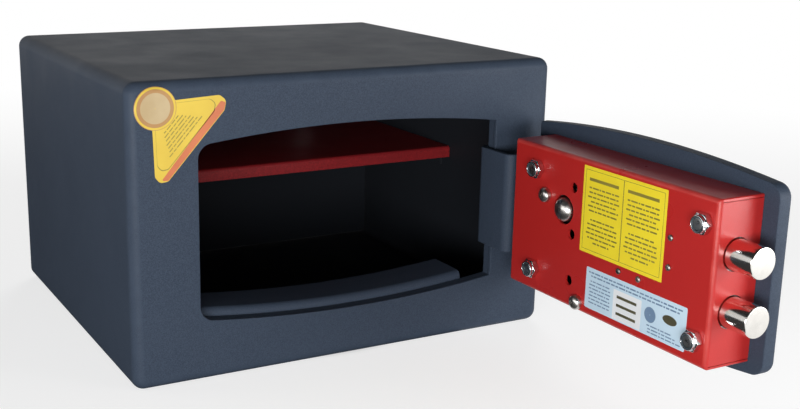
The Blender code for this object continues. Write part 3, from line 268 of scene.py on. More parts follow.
def together(*surfaces):
    """Several surfaces as one."""
    starts = np.cumsum([0] + [len(points) for points, _, _ in surfaces])
    faces = [[i + start for i in face] for (_, rows, _), start in zip(surfaces, starts) for face in rows]
    return np.concatenate([s[0] for s in surfaces]), faces, np.concatenate([s[2] for s in surfaces])


def opened(surface):
    """A shut door's surface turned a quarter round the hinge pin: X runs back along y and Y along x."""
    points, faces, wear = surface
    x, y, z = points.T
    return np.stack([PIVOT_X + PIVOT_Y - y, PIVOT_Y - PIVOT_X + x, z], -1), faces, wear


def shut_box(node):
    """A door node's low and high corners as they lie with the door shut."""
    low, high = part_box(node)
    x = np.array([low.y, high.y]) + PIVOT_X - PIVOT_Y
    y = PIVOT_X + PIVOT_Y - np.array([high.x, low.x])
    return np.array([x[0], y[0], low.z]), np.array([x[1], y[1], high.z])


def middle(node):
    """The x and z of a door node's centre with the door shut."""
    low, high = shut_box(node)
    return (low[0] + high[0]) / 2, (low[2] + high[2]) / 2


def mesh_of(name, surface):
    """A mesh with its faces outwards, smooth but for its sharp edges, and its wear as an attribute."""
    points, faces, wear = surface
    mesh = bpy.data.meshes.new(name)
    mesh.from_pydata(points.tolist(), [], faces)
    attribute = mesh.attributes.new("wear", "FLOAT", "POINT")
    attribute.data.foreach_set("value", wear.astype(np.float32))
    bm = bmesh.new()
    bm.from_mesh(mesh)
    bmesh.ops.recalc_face_normals(bm, faces=bm.faces)
    bm.to_mesh(mesh)
    bm.free()
    mesh.shade_smooth()
    mesh.set_sharp_from_angle(angle=SMOOTH_ANGLE)
    return mesh


def piece(name, surface, finish, slot, body, *stands_for):
    """A finished piece that rides on a body and stands for the CAD nodes that it is named with."""
    made = bpy.data.objects.new(name, mesh_of(name, surface))
    bpy.context.scene.collection.objects.link(made)
    made.data.materials.append(finish)
    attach(made, body)
    if stands_for:
        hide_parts(*stands_for)
    return made


def carve(target, surface):
    """Take a closed surface out of a piece for good."""
    tool = bpy.data.objects.new("tool", mesh_of("tool", surface))
    bpy.context.scene.collection.objects.link(tool)
    step = target.modifiers.new("carve", "BOOLEAN")
    step.operation = "DIFFERENCE"
    step.solver = "EXACT"
    step.object = tool
    carved = target.evaluated_get(bpy.context.evaluated_depsgraph_get())
    mesh = bpy.data.meshes.new_from_object(carved)
    target.modifiers.clear()
    old, target.data = target.data, mesh
    bpy.data.meshes.remove(old)
    mesh.name = target.name
    mesh.shade_smooth()
    mesh.set_sharp_from_angle(angle=SMOOTH_ANGLE)
    bpy.data.objects.remove(tool)


def rod(centre, radius, axis, low, high, sides=ROUND_SIDES // 2):
    """A plain round rod, for carving a hole."""
    return turned([(radius, low), (radius, high)], centre, axis, sides)


def block(low, high):
    """A plain box between two corners."""
    outline = np.array([(low[0], low[2]), (high[0], low[2]), (high[0], high[2]), (low[0], high[2])])
    return extruded(outline, "Y", low[1], high[1])


def soften(target, width):
    """Small rounds on a piece's sharp edges."""
    step = target.modifiers.new("edges", "BEVEL")
    step.width = width
    step.segments = 2
    step.limit_method = "ANGLE"
    step.angle_limit = SOFTEN_ANGLE


# Finishes

def node(tree, kind, **values):
    """A shader node with some of its settings."""
    made = tree.nodes.new(kind)
    for key, value in values.items():
        setattr(made, key, value)
    return made


def noise(tree, place, scale, detail=2.0, roughness=0.5):
    """A noise pattern on the object's own coordinates."""
    made = node(tree, "ShaderNodeTexNoise")
    made.inputs["Scale"].default_value = scale
    made.inputs["Detail"].default_value = detail
    made.inputs["Roughness"].default_value = roughness
    tree.links.new(place, made.inputs["Vector"])
    return made.outputs["Fac"]


def ranged(tree, value, low, high, new_low, new_high):
    """A value moved from one range to another and held inside it."""
    made = node(tree, "ShaderNodeMapRange")
    made.inputs["From Min"].default_value = low
    made.inputs["From Max"].default_value = high
    made.inputs["To Min"].default_value = new_low
    made.inputs["To Max"].default_value = new_high
    tree.links.new(value, made.inputs["Value"])
    return made.outputs["Result"]


def product(tree, first, second):
    """Two values multiplied."""
    made = node(tree, "ShaderNodeMath", operation="MULTIPLY")
    tree.links.new(first, made.inputs[0])
    tree.links.new(second, made.inputs[1])
    return made.outputs[0]


def blended(tree, share, first, second):
    """A colour between two, each a colour or another node's output."""
    made = node(tree, "ShaderNodeMix", data_type="RGBA")
    tree.links.new(share, made.inputs["Factor"])
    for socket, colour in ((made.inputs[6], first), (made.inputs[7], second)):
        if isinstance(colour, tuple):
            socket.default_value = (*colour, 1)
        else:
            tree.links.new(colour, socket)
    return made.outputs[2]


def bumped(tree, height, distance, strength):
    """A normal that follows a height."""
    made = node(tree, "ShaderNodeBump")
    made.inputs["Strength"].default_value = strength
    made.inputs["Distance"].default_value = distance
    tree.links.new(height, made.inputs["Height"])
    return made.outputs["Normal"]


def started(name, metallic):
    """A new material's node tree, its shader and the object's coordinates."""
    made = bpy.data.materials.new(name)
    made.use_nodes = True
    tree = made.node_tree
    shader = tree.nodes["Principled BSDF"]
    shader.inputs["Metallic"].default_value = metallic
    return made, tree, shader, node(tree, "ShaderNodeTexCoord").outputs["Object"]


def paint(name, colour, dark, worn, roughness, grain, height, speckle=0.5, specular=0.5, shade_lining=None):
    """Baked paint: drifting shade, a fine pebbled skin, grains of a darker tone and rubbed bends.
    Where a shade lining is given, a near-black painted shade covers everything in front of a given
    depth, standing in for the shade inside the cabinet."""
    made, tree, shader, place = started(name, 0.0)
    shader.inputs["Specular IOR Level"].default_value = specular
    drift = ranged(tree, noise(tree, place, 9, 3), 0.3, 0.7, 0.75, 1)
    grains = ranged(tree, noise(tree, place, grain * 1.7, 1), 0.35, 0.65, 0, speckle)
    shade = blended(tree, product(tree, drift, grains), colour, dark)
    wear = node(tree, "ShaderNodeAttribute", attribute_name="wear").outputs["Fac"]
    rubbed = ranged(tree, noise(tree, place, 60, 4), 0.35, 0.7, 0, 0.8)
    coat = blended(tree, product(tree, wear, rubbed), shade, worn)
    # Painted shade: in front of the given depth the coat turns to a near-black colour, which stands in for the
    # shade inside the cabinet.
    if shade_lining:
        inner, level = shade_lining
        apart = node(tree, "ShaderNodeSeparateXYZ")
        tree.links.new(place, apart.inputs[0])
        coat = blended(tree, ranged(tree, apart.outputs["Y"], level - SEAT, level + SEAT, 0, 1), inner, coat)
    tree.links.new(coat, shader.inputs["Base Color"])
    gloss = ranged(tree, noise(tree, place, 25, 2), 0.3, 0.7, roughness - 0.04, roughness + 0.05)
    tree.links.new(gloss, shader.inputs["Roughness"])
    skin_height = noise(tree, place, grain, 2)
    tree.links.new(bumped(tree, skin_height, height, 0.6), shader.inputs["Normal"])
    return made


def metal(name, colour, dull, roughness, spread, streak):
    """Plated or bare metal: cloudy tone, fine streaks and a roughness that drifts."""
    made, tree, shader, place = started(name, 1.0)
    cloud = ranged(tree, noise(tree, place, 120, 3), 0.35, 0.65, 0, 1)
    wear = node(tree, "ShaderNodeAttribute", attribute_name="wear").outputs["Fac"]
    shade = blended(tree, cloud, colour, dull)
    tree.links.new(blended(tree, wear, shade, colour), shader.inputs["Base Color"])
    gloss = ranged(tree, noise(tree, place, 300, 2), 0.3, 0.7, roughness, roughness + spread)
    tree.links.new(gloss, shader.inputs["Roughness"])
    scratches = noise(tree, place, 1500, 1)
    tree.links.new(bumped(tree, scratches, streak, 0.3), shader.inputs["Normal"])
    return made


def plastic(name, colour, pale, roughness):
    """Moulded plastic: slight shade, fine grain, paler where fingers rub it."""
    made, tree, shader, place = started(name, 0.0)
    cloud = ranged(tree, noise(tree, place, 80, 3), 0.3, 0.7, 0, 1)
    tree.links.new(blended(tree, cloud, colour, pale), shader.inputs["Base Color"])
    gloss = ranged(tree, noise(tree, place, 200, 2), 0.3, 0.7, roughness, roughness + 0.12)
    tree.links.new(gloss, shader.inputs["Roughness"])
    tree.links.new(bumped(tree, noise(tree, place, 900, 1), 0.05 * MM, 0.4), shader.inputs["Normal"])
    return made


def film(name, colour, faded, roughness=0.35):
    """Printed label stock: one ink with slow fading and a faint weave of paper."""
    made, tree, shader, place = started(name, 0.0)
    fading = ranged(tree, noise(tree, place, 45, 3), 0.3, 0.7, 0, 1)
    tree.links.new(blended(tree, fading, colour, faded), shader.inputs["Base Color"])
    gloss = ranged(tree, noise(tree, place, 160, 2), 0.3, 0.7, roughness, roughness + 0.1)
    tree.links.new(gloss, shader.inputs["Roughness"])
    tree.links.new(bumped(tree, noise(tree, place, 1200, 1), 0.02 * MM, 0.3), shader.inputs["Normal"])
    return made


SLATE = (0.045, 0.061, 0.09), (0.027, 0.038, 0.059), (0.045, 0.061, 0.09)
# The inside colours are painted shade: a near-black paint for the faces inside the cabinet, standing in for the
# shade they lie in.
INSIDE_SHADE = (0.012, 0.014, 0.018), (0.007, 0.008, 0.011), (0.03, 0.035, 0.042)
SLATE_SKIN = 0.5, 1100, 0.16 * MM, 0.9, 0.12
slate = paint("slate_paint", *SLATE, *SLATE_SKIN)
# Painted shade on the back panel: its face towards the inside takes the near-black colour.
lined_slate = paint("lined_slate", *SLATE, *SLATE_SKIN, (INSIDE_SHADE[0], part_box("back_panel")[0].y + MM))
inside_slate = paint("inside_slate", *INSIDE_SHADE, 0.6, 1500, 0.2 * MM, 0.5, 0.2)
red = paint("red_paint", (0.45, 0.02, 0.018), (0.35, 0.013, 0.012), (0.55, 0.06, 0.05),
            0.3, 1700, 0.1 * MM, 0.4, 0.45)
dark_red = paint("dark_red_paint", (0.3, 0.016, 0.02), (0.1, 0.006, 0.008), (0.36, 0.04, 0.04),
                 0.5, 1300, 0.25 * MM, 1.0, 0.25)
bright = metal("bright_plate", (0.8, 0.78, 0.74), (0.74, 0.72, 0.68), 0.13, 0.03, 0.004 * MM)
zinc = metal("zinc_steel", (0.66, 0.67, 0.68), (0.5, 0.5, 0.49), 0.24, 0.14, 0.02 * MM)
dull = metal("dull_steel", (0.36, 0.34, 0.32), (0.22, 0.21, 0.2), 0.36, 0.12, 0.03 * MM)
satin = metal("satin_steel", (0.6, 0.58, 0.55), (0.5, 0.48, 0.46), 0.26, 0.08, 0.02 * MM)
nut_plate = metal("nut_plate", (0.78, 0.8, 0.83), (0.6, 0.62, 0.66), 0.14, 0.12, 0.02 * MM)
brass = metal("brass", (0.62, 0.45, 0.19), (0.45, 0.31, 0.12), 0.3, 0.12, 0.02 * MM)
black = plastic("black_plastic", (0.016, 0.016, 0.018), (0.03, 0.03, 0.032), 0.3)
insert_grey = plastic("insert_nylon", (0.035, 0.05, 0.06), (0.06, 0.08, 0.09), 0.4)
white_ink = film("white_ink", (0.8, 0.8, 0.77), (0.7, 0.7, 0.67), 0.45)
yellow_film = film("yellow_film", (0.86, 0.7, 0.03), (0.81, 0.64, 0.026))
blue_film = film("pale_blue_film", (0.56, 0.71, 0.82), (0.5, 0.65, 0.77))
white_film = film("white_film", (0.8, 0.82, 0.84), (0.72, 0.74, 0.76))
frame_ink = film("frame_ink", (0.06, 0.055, 0.03), (0.1, 0.09, 0.05))
olive_ink = film("olive_ink", (0.2, 0.17, 0.03), (0.27, 0.22, 0.04))
blue_ink = film("blue_ink", (0.12, 0.2, 0.32), (0.17, 0.26, 0.38))
amber_film = film("amber_film", (0.66, 0.48, 0.06), (0.6, 0.42, 0.05))
salmon_film = film("salmon_film", (0.56, 0.17, 0.07), (0.5, 0.14, 0.06))
bronze_film = film("bronze_film", (0.42, 0.24, 0.09), (0.36, 0.19, 0.07))
cream_film = film("cream_film", (0.5, 0.39, 0.23), (0.42, 0.31, 0.16))


# Cabinet

def at_depth(loop, level):
    """A loop of the front's plane at one depth."""
    return placed(loop[:, 0], MID_Z + loop[:, 1], level, "Y")


def cabinet_shell():
    """Outer sheet: the cross-section's loop runs from the rear along the walls, turns a quarter
    circle into the front face, narrows to the opening's loop and returns inside at the sheet's depth."""
    turn = np.linspace(0, math.pi / 2, BEND_STEPS + 1)
    walls = box_loop(HALF_WIDTH, HALF_HEIGHT, SIDE_BEND)
    hollow = box_loop(HALF_WIDTH - SHEET, HALF_HEIGHT - SHEET, SIDE_INNER_BEND)
    rings = [
        at_depth(box_loop(HALF_WIDTH - SEAT, HALF_HEIGHT - SEAT, SIDE_BEND - SEAT), REAR),
        at_depth(walls, REAR - SEAT),
        at_depth(walls, FRONT + FRONT_BEND + SUPPORT),
    ]
    for t in turn:
        inset = FRONT_BEND * (1 - math.cos(t))
        loop = box_loop(HALF_WIDTH - inset, HALF_HEIGHT - inset, SIDE_BEND - inset)
        rings.append(at_depth(loop, FRONT + FRONT_BEND * (1 - math.sin(t))))
    worn = range(3 + BEND_STEPS // 3, 3 + BEND_STEPS)
    inset = FRONT_BEND + SUPPORT
    rings.append(at_depth(box_loop(HALF_WIDTH - inset, HALF_HEIGHT - inset, SIDE_BEND - inset), FRONT))
    rings.append(at_depth(barrel_loop(-OPENING_EDGE - SUPPORT), FRONT))
    for t in turn[::2]:
        loop = barrel_loop(OPENING_EDGE * (math.sin(t) - 1))
        rings.append(at_depth(loop, FRONT + OPENING_EDGE * (1 - math.cos(t))))
    outside = len(rings)
    rings.append(at_depth(barrel_loop(), FRONT + SHEET))
    rings.append(at_depth(hollow, FRONT + SHEET))
    rings.append(at_depth(hollow, REAR))
    made = piece("cabinet_walls", skin(rings, True, worn), slate, "slate_paint", "cabinet", "cabinet_shell")
    # Painted shade: the inside walls and the back of the front sheet take the near-black paint that stands in for
    # the shade inside.
    made.data.materials.append(inside_slate)
    shaded_bands = np.zeros(len(rings), np.int32)
    shaded_bands[outside:outside + 2] = 1
    made.data.polygons.foreach_set("material_index", np.repeat(shaded_bands, rings[0].shape[0]))
    holes = [rod((side * ANCHOR_X, 0), ANCHOR_HOLE, "Z", -SHEET, 2 * SHEET) for side in (-1, 1)]
    carve(made, together(*holes))


def front_frame():
    """Plate behind the front: the opening's loop run back to the plate's depth and out to its edge."""
    low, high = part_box("front_frame")
    outer = box_loop(high.x, (high.z - low.z) / 2, SIDE_INNER_BEND - SEAT)
    rings = [
        at_depth(outer, low.y),
        at_depth(barrel_loop(), low.y),
        at_depth(barrel_loop(), high.y - SEAT),
        at_depth(barrel_loop(-SEAT), high.y),
        at_depth(outer, high.y),
    ]
    made = piece("jamb_frame", skin(rings, True), slate, "slate_paint", "cabinet", "front_frame")
    # Painted shade: the plate's faces away from the opening take the near-black paint that stands in for the shade
    # inside.
    made.data.materials.append(inside_slate)
    shaded_bands = np.array([1, 0, 0, 1, 1], np.int32)
    made.data.polygons.foreach_set("material_index", np.repeat(shaded_bands, len(outer)))


def door_sill():
    """Bent strip whose cross-section is carried across the opening and lifted along its bowed edge."""
    low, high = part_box("door_sill")
    x = np.linspace(low.x, high.x, 4 * ARCH_STEPS)[:, None]
    bow = ARCH_RADIUS - OPENING_APEX - np.sqrt(ARCH_RADIUS**2 - x**2)
    top = high.z - bow.max()
    drop = low.z - bow.min()
    half = SILL_SHEET / 2
    path = filleted([(low.y + half, drop), (low.y + half, top - half), (high.y, top - half)], [SILL_BEND])
    loop = strip_loop(path, SILL_SHEET)
    rings = placed(loop[None, :, 0], loop[None, :, 1] + bow, x, "X")
    made = piece("sill_strip", skin(rings), slate, "slate_paint", "cabinet", "door_sill")
    soften(made, 0.5 * MM)


def shelf():
    """Half-depth shelf: a sheet with its front edge turned down, carried across the cabinet."""
    low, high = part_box("shelf")
    half = SHELF_SHEET / 2
    path = filleted([(low.y + half, low.z), (low.y + half, high.z - half), (high.y, high.z - half)], [SHELF_BEND])
    made = piece("shelf_sheet", extruded(strip_loop(path, SHELF_SHEET), "X", low.x, high.x), dark_red,
                 "dark_red_paint", "cabinet", "shelf")
    soften(made, 0.3 * MM)


# Door

def door_plate():
    """Thick plate: the opening's loop with a running gap, drawn in by a quarter circle at its outer
    edge and by a small round at its inner edge, where the hinge side slants back."""
    low, high = shut_box("door_plate")
    turn = np.linspace(0, math.pi / 2, BEND_STEPS + 1)
    rings = [at_depth(barrel_loop(DOOR_GAP + DOOR_EDGE + SUPPORT, HINGE_GAP + DOOR_EDGE + SUPPORT), low[1])]
    for t in turn:
        inset = DOOR_EDGE * (1 - math.sin(t))
        loop = barrel_loop(DOOR_GAP + inset, HINGE_GAP + inset)
        rings.append(at_depth(loop, low[1] + DOOR_EDGE * (1 - math.cos(t))))
    for t in turn[::2]:
        inset = DOOR_BACK_EDGE * (1 - math.cos(t))
        loop = barrel_loop(DOOR_GAP + inset, HINGE_RELIEF + inset)
        rings.append(at_depth(loop, high[1] - DOOR_BACK_EDGE * (1 - math.sin(t))))
    inset = DOOR_BACK_EDGE + SUPPORT
    rings.append(at_depth(barrel_loop(DOOR_GAP + inset, HINGE_RELIEF + inset), high[1]))
    worn = range(BEND_STEPS // 3, BEND_STEPS)
    piece("door_slab", opened(skin(rings, worn=worn)), slate, "slate_paint", "door", "door_plate")


def hinge_arm():
    """Goose-neck arm: a strip bent along a line and carried up its height, with the knuckle at its end."""
    low, high = shut_box("hinge_arm")
    cover = shut_box("lock_cover")[1]
    half = ARM_SHEET / 2
    foot_x = cover[0] + ARM_CLEARANCE + half
    knuckle_x = PIVOT_X - KNUCKLE_RADIUS + half
    path = filleted([
        (foot_x + ARM_FOOT, low[1] + half),
        (foot_x, low[1] + half),
        (foot_x, high[1] - half),
        (knuckle_x, high[1] - half),
        (knuckle_x, PIVOT_Y),
    ], [ARM_BEND])
    neck = extruded(strip_loop(path, ARM_SHEET), "Z", low[2], high[2])
    ring = [(KNUCKLE_RADIUS, low[2]), (KNUCKLE_RADIUS, high[2]), (PIN_BORE, high[2]), (PIN_BORE, low[2])]
    knuckle = turned(ring, (PIVOT_X, PIVOT_Y), "Z", ROUND_SIDES // 2, True)
    made = piece("hinge_neck", opened(neck), slate, "slate_paint", "door", "hinge_arm")
    soften(made, 0.5 * MM)
    piece("hinge_knuckle", opened(knuckle), slate, "slate_paint", "door", "hinge_arm")


def lock_cover():
    """Folded cover: a rectangle's loop runs down the inner bend to the rim and back up the outer bend
    to the face, with round holes through the face and the free end and a seam at each end's corners."""
    low, high = shut_box("lock_cover")
    centre = (low + high) / 2
    half_x, half_z = (high[0] - low[0]) / 2, (high[2] - low[2]) / 2

    def ring(inset, corner, level):
        loop = box_loop(half_x - inset, half_z - inset, corner)
        return placed(centre[0] + loop[:, 0], centre[2] + loop[:, 1], level, "Y")

    turn = np.linspace(0, math.pi / 2, BEND_STEPS + 1)
    inner_bend = COVER_BEND - COVER_SHEET
    rings = [ring(COVER_SHEET + inner_bend * (1 - math.sin(t)), SEAT, high[1] - COVER_SHEET
                  - inner_bend * (1 - math.cos(t))) for t in turn]
    rings += [ring(COVER_SHEET, SEAT, low[1]), ring(0, COVER_CORNER, low[1])]
    rings += [ring(0, COVER_CORNER, high[1] - COVER_BEND - SUPPORT)]
    rings += [ring(COVER_BEND * (1 - math.cos(t)), COVER_CORNER, high[1] - COVER_BEND * (1 - math.sin(t)))
              for t in turn]
    rings += [ring(COVER_BEND + SUPPORT, COVER_CORNER, high[1])]
    first = BEND_STEPS + 4
    worn = range(first + BEND_STEPS // 3, first + BEND_STEPS)
    made = piece("lock_case", opened(skin(rings, worn=worn)), red, "red_paint", "door", "lock_cover")

    knob_x, knob_z = middle("spindle_cap")
    spots = [(CAP_HOLE, (knob_x, knob_z))]
    spots += [(SIGHT_HOLE, (knob_x - SIGHT_OFFSET, MID_Z - SIGHT_DROP + i * SIGHT_SPACING)) for i in (-1, 0, 1)]
    spots += [(STUD_HOLE, middle(f"cover_stud_{i}")) for i in range(1, 5)]
    spots += [(SCREW_HOLE, middle(f"cover_screw_{i}")) for i in range(1, 3)]
    spots += [(SHIELD_SCREW_HOLE, middle(f"shield_screw_{i}")) for i in range(1, 5)]
    above, below = high[1] + COVER_SHEET, high[1] - 2 * COVER_SHEET
    tools = [rod(place, radius, "Y", below, above) for radius, place in spots]
    for bolt in ("bolt_lower", "bolt_upper"):
        start, end = shut_box(bolt)
        bore = ((start[1] + end[1]) / 2, (start[2] + end[2]) / 2)
        tools.append(rod(bore, BOLT_HOLE, "X", low[0] - COVER_SHEET, low[0] + 2 * COVER_SHEET))
    for edge, inward in ((high[2] - COVER_SHEET, -1), (low[2] + COVER_SHEET, 1)):
        near, far = sorted((edge, edge + inward * COVER_SEAM))
        for outer in (low[0], high[0]):
            tools.append(block((outer - COVER_SHEET / 2, low[1] - COVER_SHEET, near),
                               (outer + COVER_SHEET / 2, high[1] - 0.8 * COVER_BEND, far)))
    carve(made, opened(together(*tools)))


# Cover fasteners

def hexed(across_flats, turn):
    """Radius of a hexagon at each turn: half its width over the cosine of the turn from a flat."""
    return across_flats / 2 / np.cos(np.mod(turn, math.pi / 3) - math.pi / 6)


def locking_nut(node_name):
    """Nut: at each level the hexagon's radius is held inside a cone, then a collar with a rolled rim."""
    low, high = shut_box(node_name)
    place = middle(node_name)
    flats, collar, rim, bore = 13 * MM, 5.9 * MM, 4.9 * MM, 4.3 * MM
    hex_end = low[1] + 4.4 * MM
    slope = math.tan(math.radians(62))
    turn = 2 * math.pi * np.arange(ROUND_SIDES) / ROUND_SIDES
    rise = np.linspace(0, 0.9 * MM, 6)
    depth = np.concatenate([rise, rise[::-1]])[:, None]
    levels = np.concatenate([low[1] + rise, hex_end - rise[::-1]])[:, None]
    radius = np.minimum(hexed(flats, turn)[None], flats / 2 - 0.1 * MM + depth * slope)
    sleeve = filleted([
        (collar + 0.35 * MM, hex_end + 0.01 * MM),
        (collar, hex_end + 0.35 * MM),
        (collar, high[1]),
        (rim, high[1]),
        (rim, high[1] - 0.9 * MM),
        (bore, high[1] - 0.9 * MM),
        (bore, low[1]),
    ], [0.2 * MM, 0.7 * MM, 0.15 * MM, 0.02 * MM, 0.02 * MM], 5)
    radius = np.concatenate([radius, np.broadcast_to(sleeve[:, :1], (len(sleeve), ROUND_SIDES))])
    levels = np.concatenate([levels, sleeve[:, 1:]])
    rings = placed(place[0] + radius * np.cos(turn), place[1] + radius * np.sin(turn), levels, "Y")
    return skin(rings, True)


def nut_insert(node_name):
    """Soft ring inside a nut's rim, a plain turned ring."""
    high = shut_box(node_name)[1]
    place = middle(node_name)
    ring = filleted([(4.05 * MM, high[1] - 0.85 * MM), (4.85 * MM, high[1] - 0.85 * MM),
                     (4.85 * MM, high[1] - 0.3 * MM), (4.05 * MM, high[1] - 0.3 * MM),
                     (4.05 * MM, high[1] - 0.8 * MM)], [0.05 * MM, 0.2 * MM, 0.2 * MM], 4)
    return turned(ring, place, "Y", ROUND_SIDES // 2, True)


def crossed(place, size, width, low, high, turn):
    """Two crossing slots, each a thin upright box turned about the screw's axis."""
    corner = np.array([(-size, -width), (size, -width), (size, width), (-size, width)]) / 2
    slots = []
    for angle in (turn, turn + math.pi / 2):
        spin = np.array([(math.cos(angle), math.sin(angle)), (-math.sin(angle), math.cos(angle))])
        slots.append(extruded(corner @ spin + np.array(place), "Y", low, high))
    return slots


def cover_fasteners():
    """Nuts with their inserts, stud ends, pan-head screws and the four small screws."""
    nuts = [f"cover_nut_{i}" for i in range(1, 5)]
    shapes = together(*[locking_nut(nut) for nut in nuts])
    piece("cover_nuts", opened(shapes), nut_plate, "bright_plate", "door", *nuts)
    shapes = together(*[nut_insert(nut) for nut in nuts])
    piece("nut_inserts", opened(shapes), insert_grey, "black_plastic", "door")
    face = shut_box("lock_cover")[1][1]
    studs, ends = [f"cover_stud_{i}" for i in range(1, 5)], []
    for stud in studs:
        low, high = shut_box(stud)
        profile = filleted([(4 * MM, low[1]), (4 * MM, high[1]), (0.5 * MM, high[1])], [0.6 * MM], 5)
        ends.append(turned(profile, middle(stud), "Y", ROUND_SIDES // 2))
    piece("stud_rods", opened(together(*ends)), zinc, "zinc_steel", "door", *studs)

    for i, angle in ((1, 0.5), (2, 0.2)):
        name = f"cover_screw_{i}"
        low, high = shut_box(name)
        base = face + SEAT
        dome = high[1] - base
        t = np.linspace(0, 1, 14)
        crown = np.stack([5.4 * MM * np.cos(t * 1.45), base + dome * (0.42 + 0.58 * np.sin(t * math.pi / 2))], -1)
        profile = np.concatenate([[(2.5 * MM, low[1]), (2.5 * MM, base), (5.3 * MM, base)], crown])
        surface = turned(profile, middle(name), "Y")
        made = piece(f"pan_screw_{i}", opened(surface), satin, "bright_plate", "door", name)
        slots = crossed(middle(name), 4.6 * MM, 0.9 * MM, high[1] - 1.9 * MM, high[1] + MM, angle)
        for slot in slots:
            carve(made, opened(slot))
    for i, angle in ((1, 0.3), (2, 0.9), (3, 0.1), (4, 0.6)):
        name = f"shield_screw_{i}"
        low, high = shut_box(name)
        base = face + SEAT
        profile = [(1.2 * MM, low[1]), (1.2 * MM, base), (2.15 * MM, base)]
        t = np.linspace(0, 1, 8)
        dome = high[1] - base
        crown = np.stack([2.2 * MM * np.cos(t * 1.4), base + dome * (0.2 + 0.8 * np.sin(t * math.pi / 2))], -1)
        surface = turned(np.concatenate([profile, crown]), middle(name), "Y", 48)
        made = piece(f"small_screw_{i}", opened(surface), dull, "zinc_steel", "door", name)
        for slot in crossed(middle(name), 2.2 * MM, 0.5 * MM, high[1] - 0.8 * MM, high[1] + MM, angle):
            carve(made, opened(slot))


def spindle_cap():
    """Domed end of the knob's spindle: a short rim and a half ellipse turned about its axis."""
    low, high = shut_box("spindle_cap")
    t = np.linspace(0, math.pi / 2 * 0.99, 24)
    radius = (high[0] - low[0]) / 2 - SEAT
    rim = low[1] + CAP_RIM
    dome = np.stack([radius * np.cos(t), rim + (high[1] - rim) * np.sin(t)], -1)
    surface = turned(np.concatenate([[(radius, low[1])], dome]), middle("spindle_cap"), "Y")
    piece("domed_cap", opened(surface), satin, "bright_plate", "knob_set", "spindle_cap")


def bolts():
    """Round bolts: a straight shaft with a rounded tip, then the thin tail, turned about x."""
    for name in ("bolt_lower", "bolt_upper"):
        low, high = shut_box(name)
        radius = (high[2] - low[2]) / 2
        shaft = low[0] + BOLT_SHAFT
        profile = filleted([
            (0.5 * MM, low[0]),
            (radius, low[0]),
            (radius, shaft),
            (BOLT_TAIL, shaft),
            (BOLT_TAIL, high[0]),
        ], [0.9 * MM, 0.3 * MM, 0.2 * MM], 8)
        place = ((low[1] + high[1]) / 2, (low[2] + high[2]) / 2)
        piece(name + "_shaft", opened(turned(profile, place, "X")), bright, "bright_plate", "bolt_carriage", name)


# Front of the door

def fluted(profile, centre, depth, count, low, high, sides=ROUND_SIDES * 3):
    """A turned profile whose radius dips by a cosine wave round the axis between two levels."""
    profile = np.array(profile, float)
    turn = 2 * math.pi * np.arange(sides) / sides
    radius, level = profile[:, :1], profile[:, 1:]
    inside = ((level >= low) & (level <= high)).astype(float)
    wave = depth * (0.5 - 0.5 * np.cos(count * turn))[None] * inside
    radius = radius - wave
    return skin(placed(centre[0] + radius * np.cos(turn), centre[1] + radius * np.sin(turn), level, "Y"))


def knob():
    """Front knob with a fluted rim, and its rosette."""
    low, high = shut_box("knob")
    place = middle("knob")
    tip, base = low[1], high[1]
    neck = base - 8 * MM
    profile = filleted([(0.4 * MM, tip), (9 * MM, tip), (16 * MM, tip + 2.2 * MM), (16 * MM, neck - 0.1 * MM),
                        (9 * MM, neck + 0.6 * MM), (9 * MM, base)], [6 * MM, 2.2 * MM, 1.6 * MM, 0.6 * MM], 12)
    surface = fluted(profile, place, 1.3 * MM, 14, tip + 2.8 * MM, neck - 0.6 * MM)
    piece("front_knob", opened(surface), satin, "bright_plate", "knob_set", "knob")

    low, high = shut_box("knob_rosette")
    bore = 4.3 * MM
    ring = filleted([
        (bore, high[1]),
        (18 * MM, high[1]),
        (18 * MM, low[1]),
        (bore, low[1]),
        (bore, high[1] - 0.05 * MM),
    ], [0.1 * MM, 1.4 * MM, 0.1 * MM], 8)
    surface = turned(ring, place, "Y", closed=True)
    piece("knob_plate", opened(surface), bright, "bright_plate", "door", "knob_rosette")


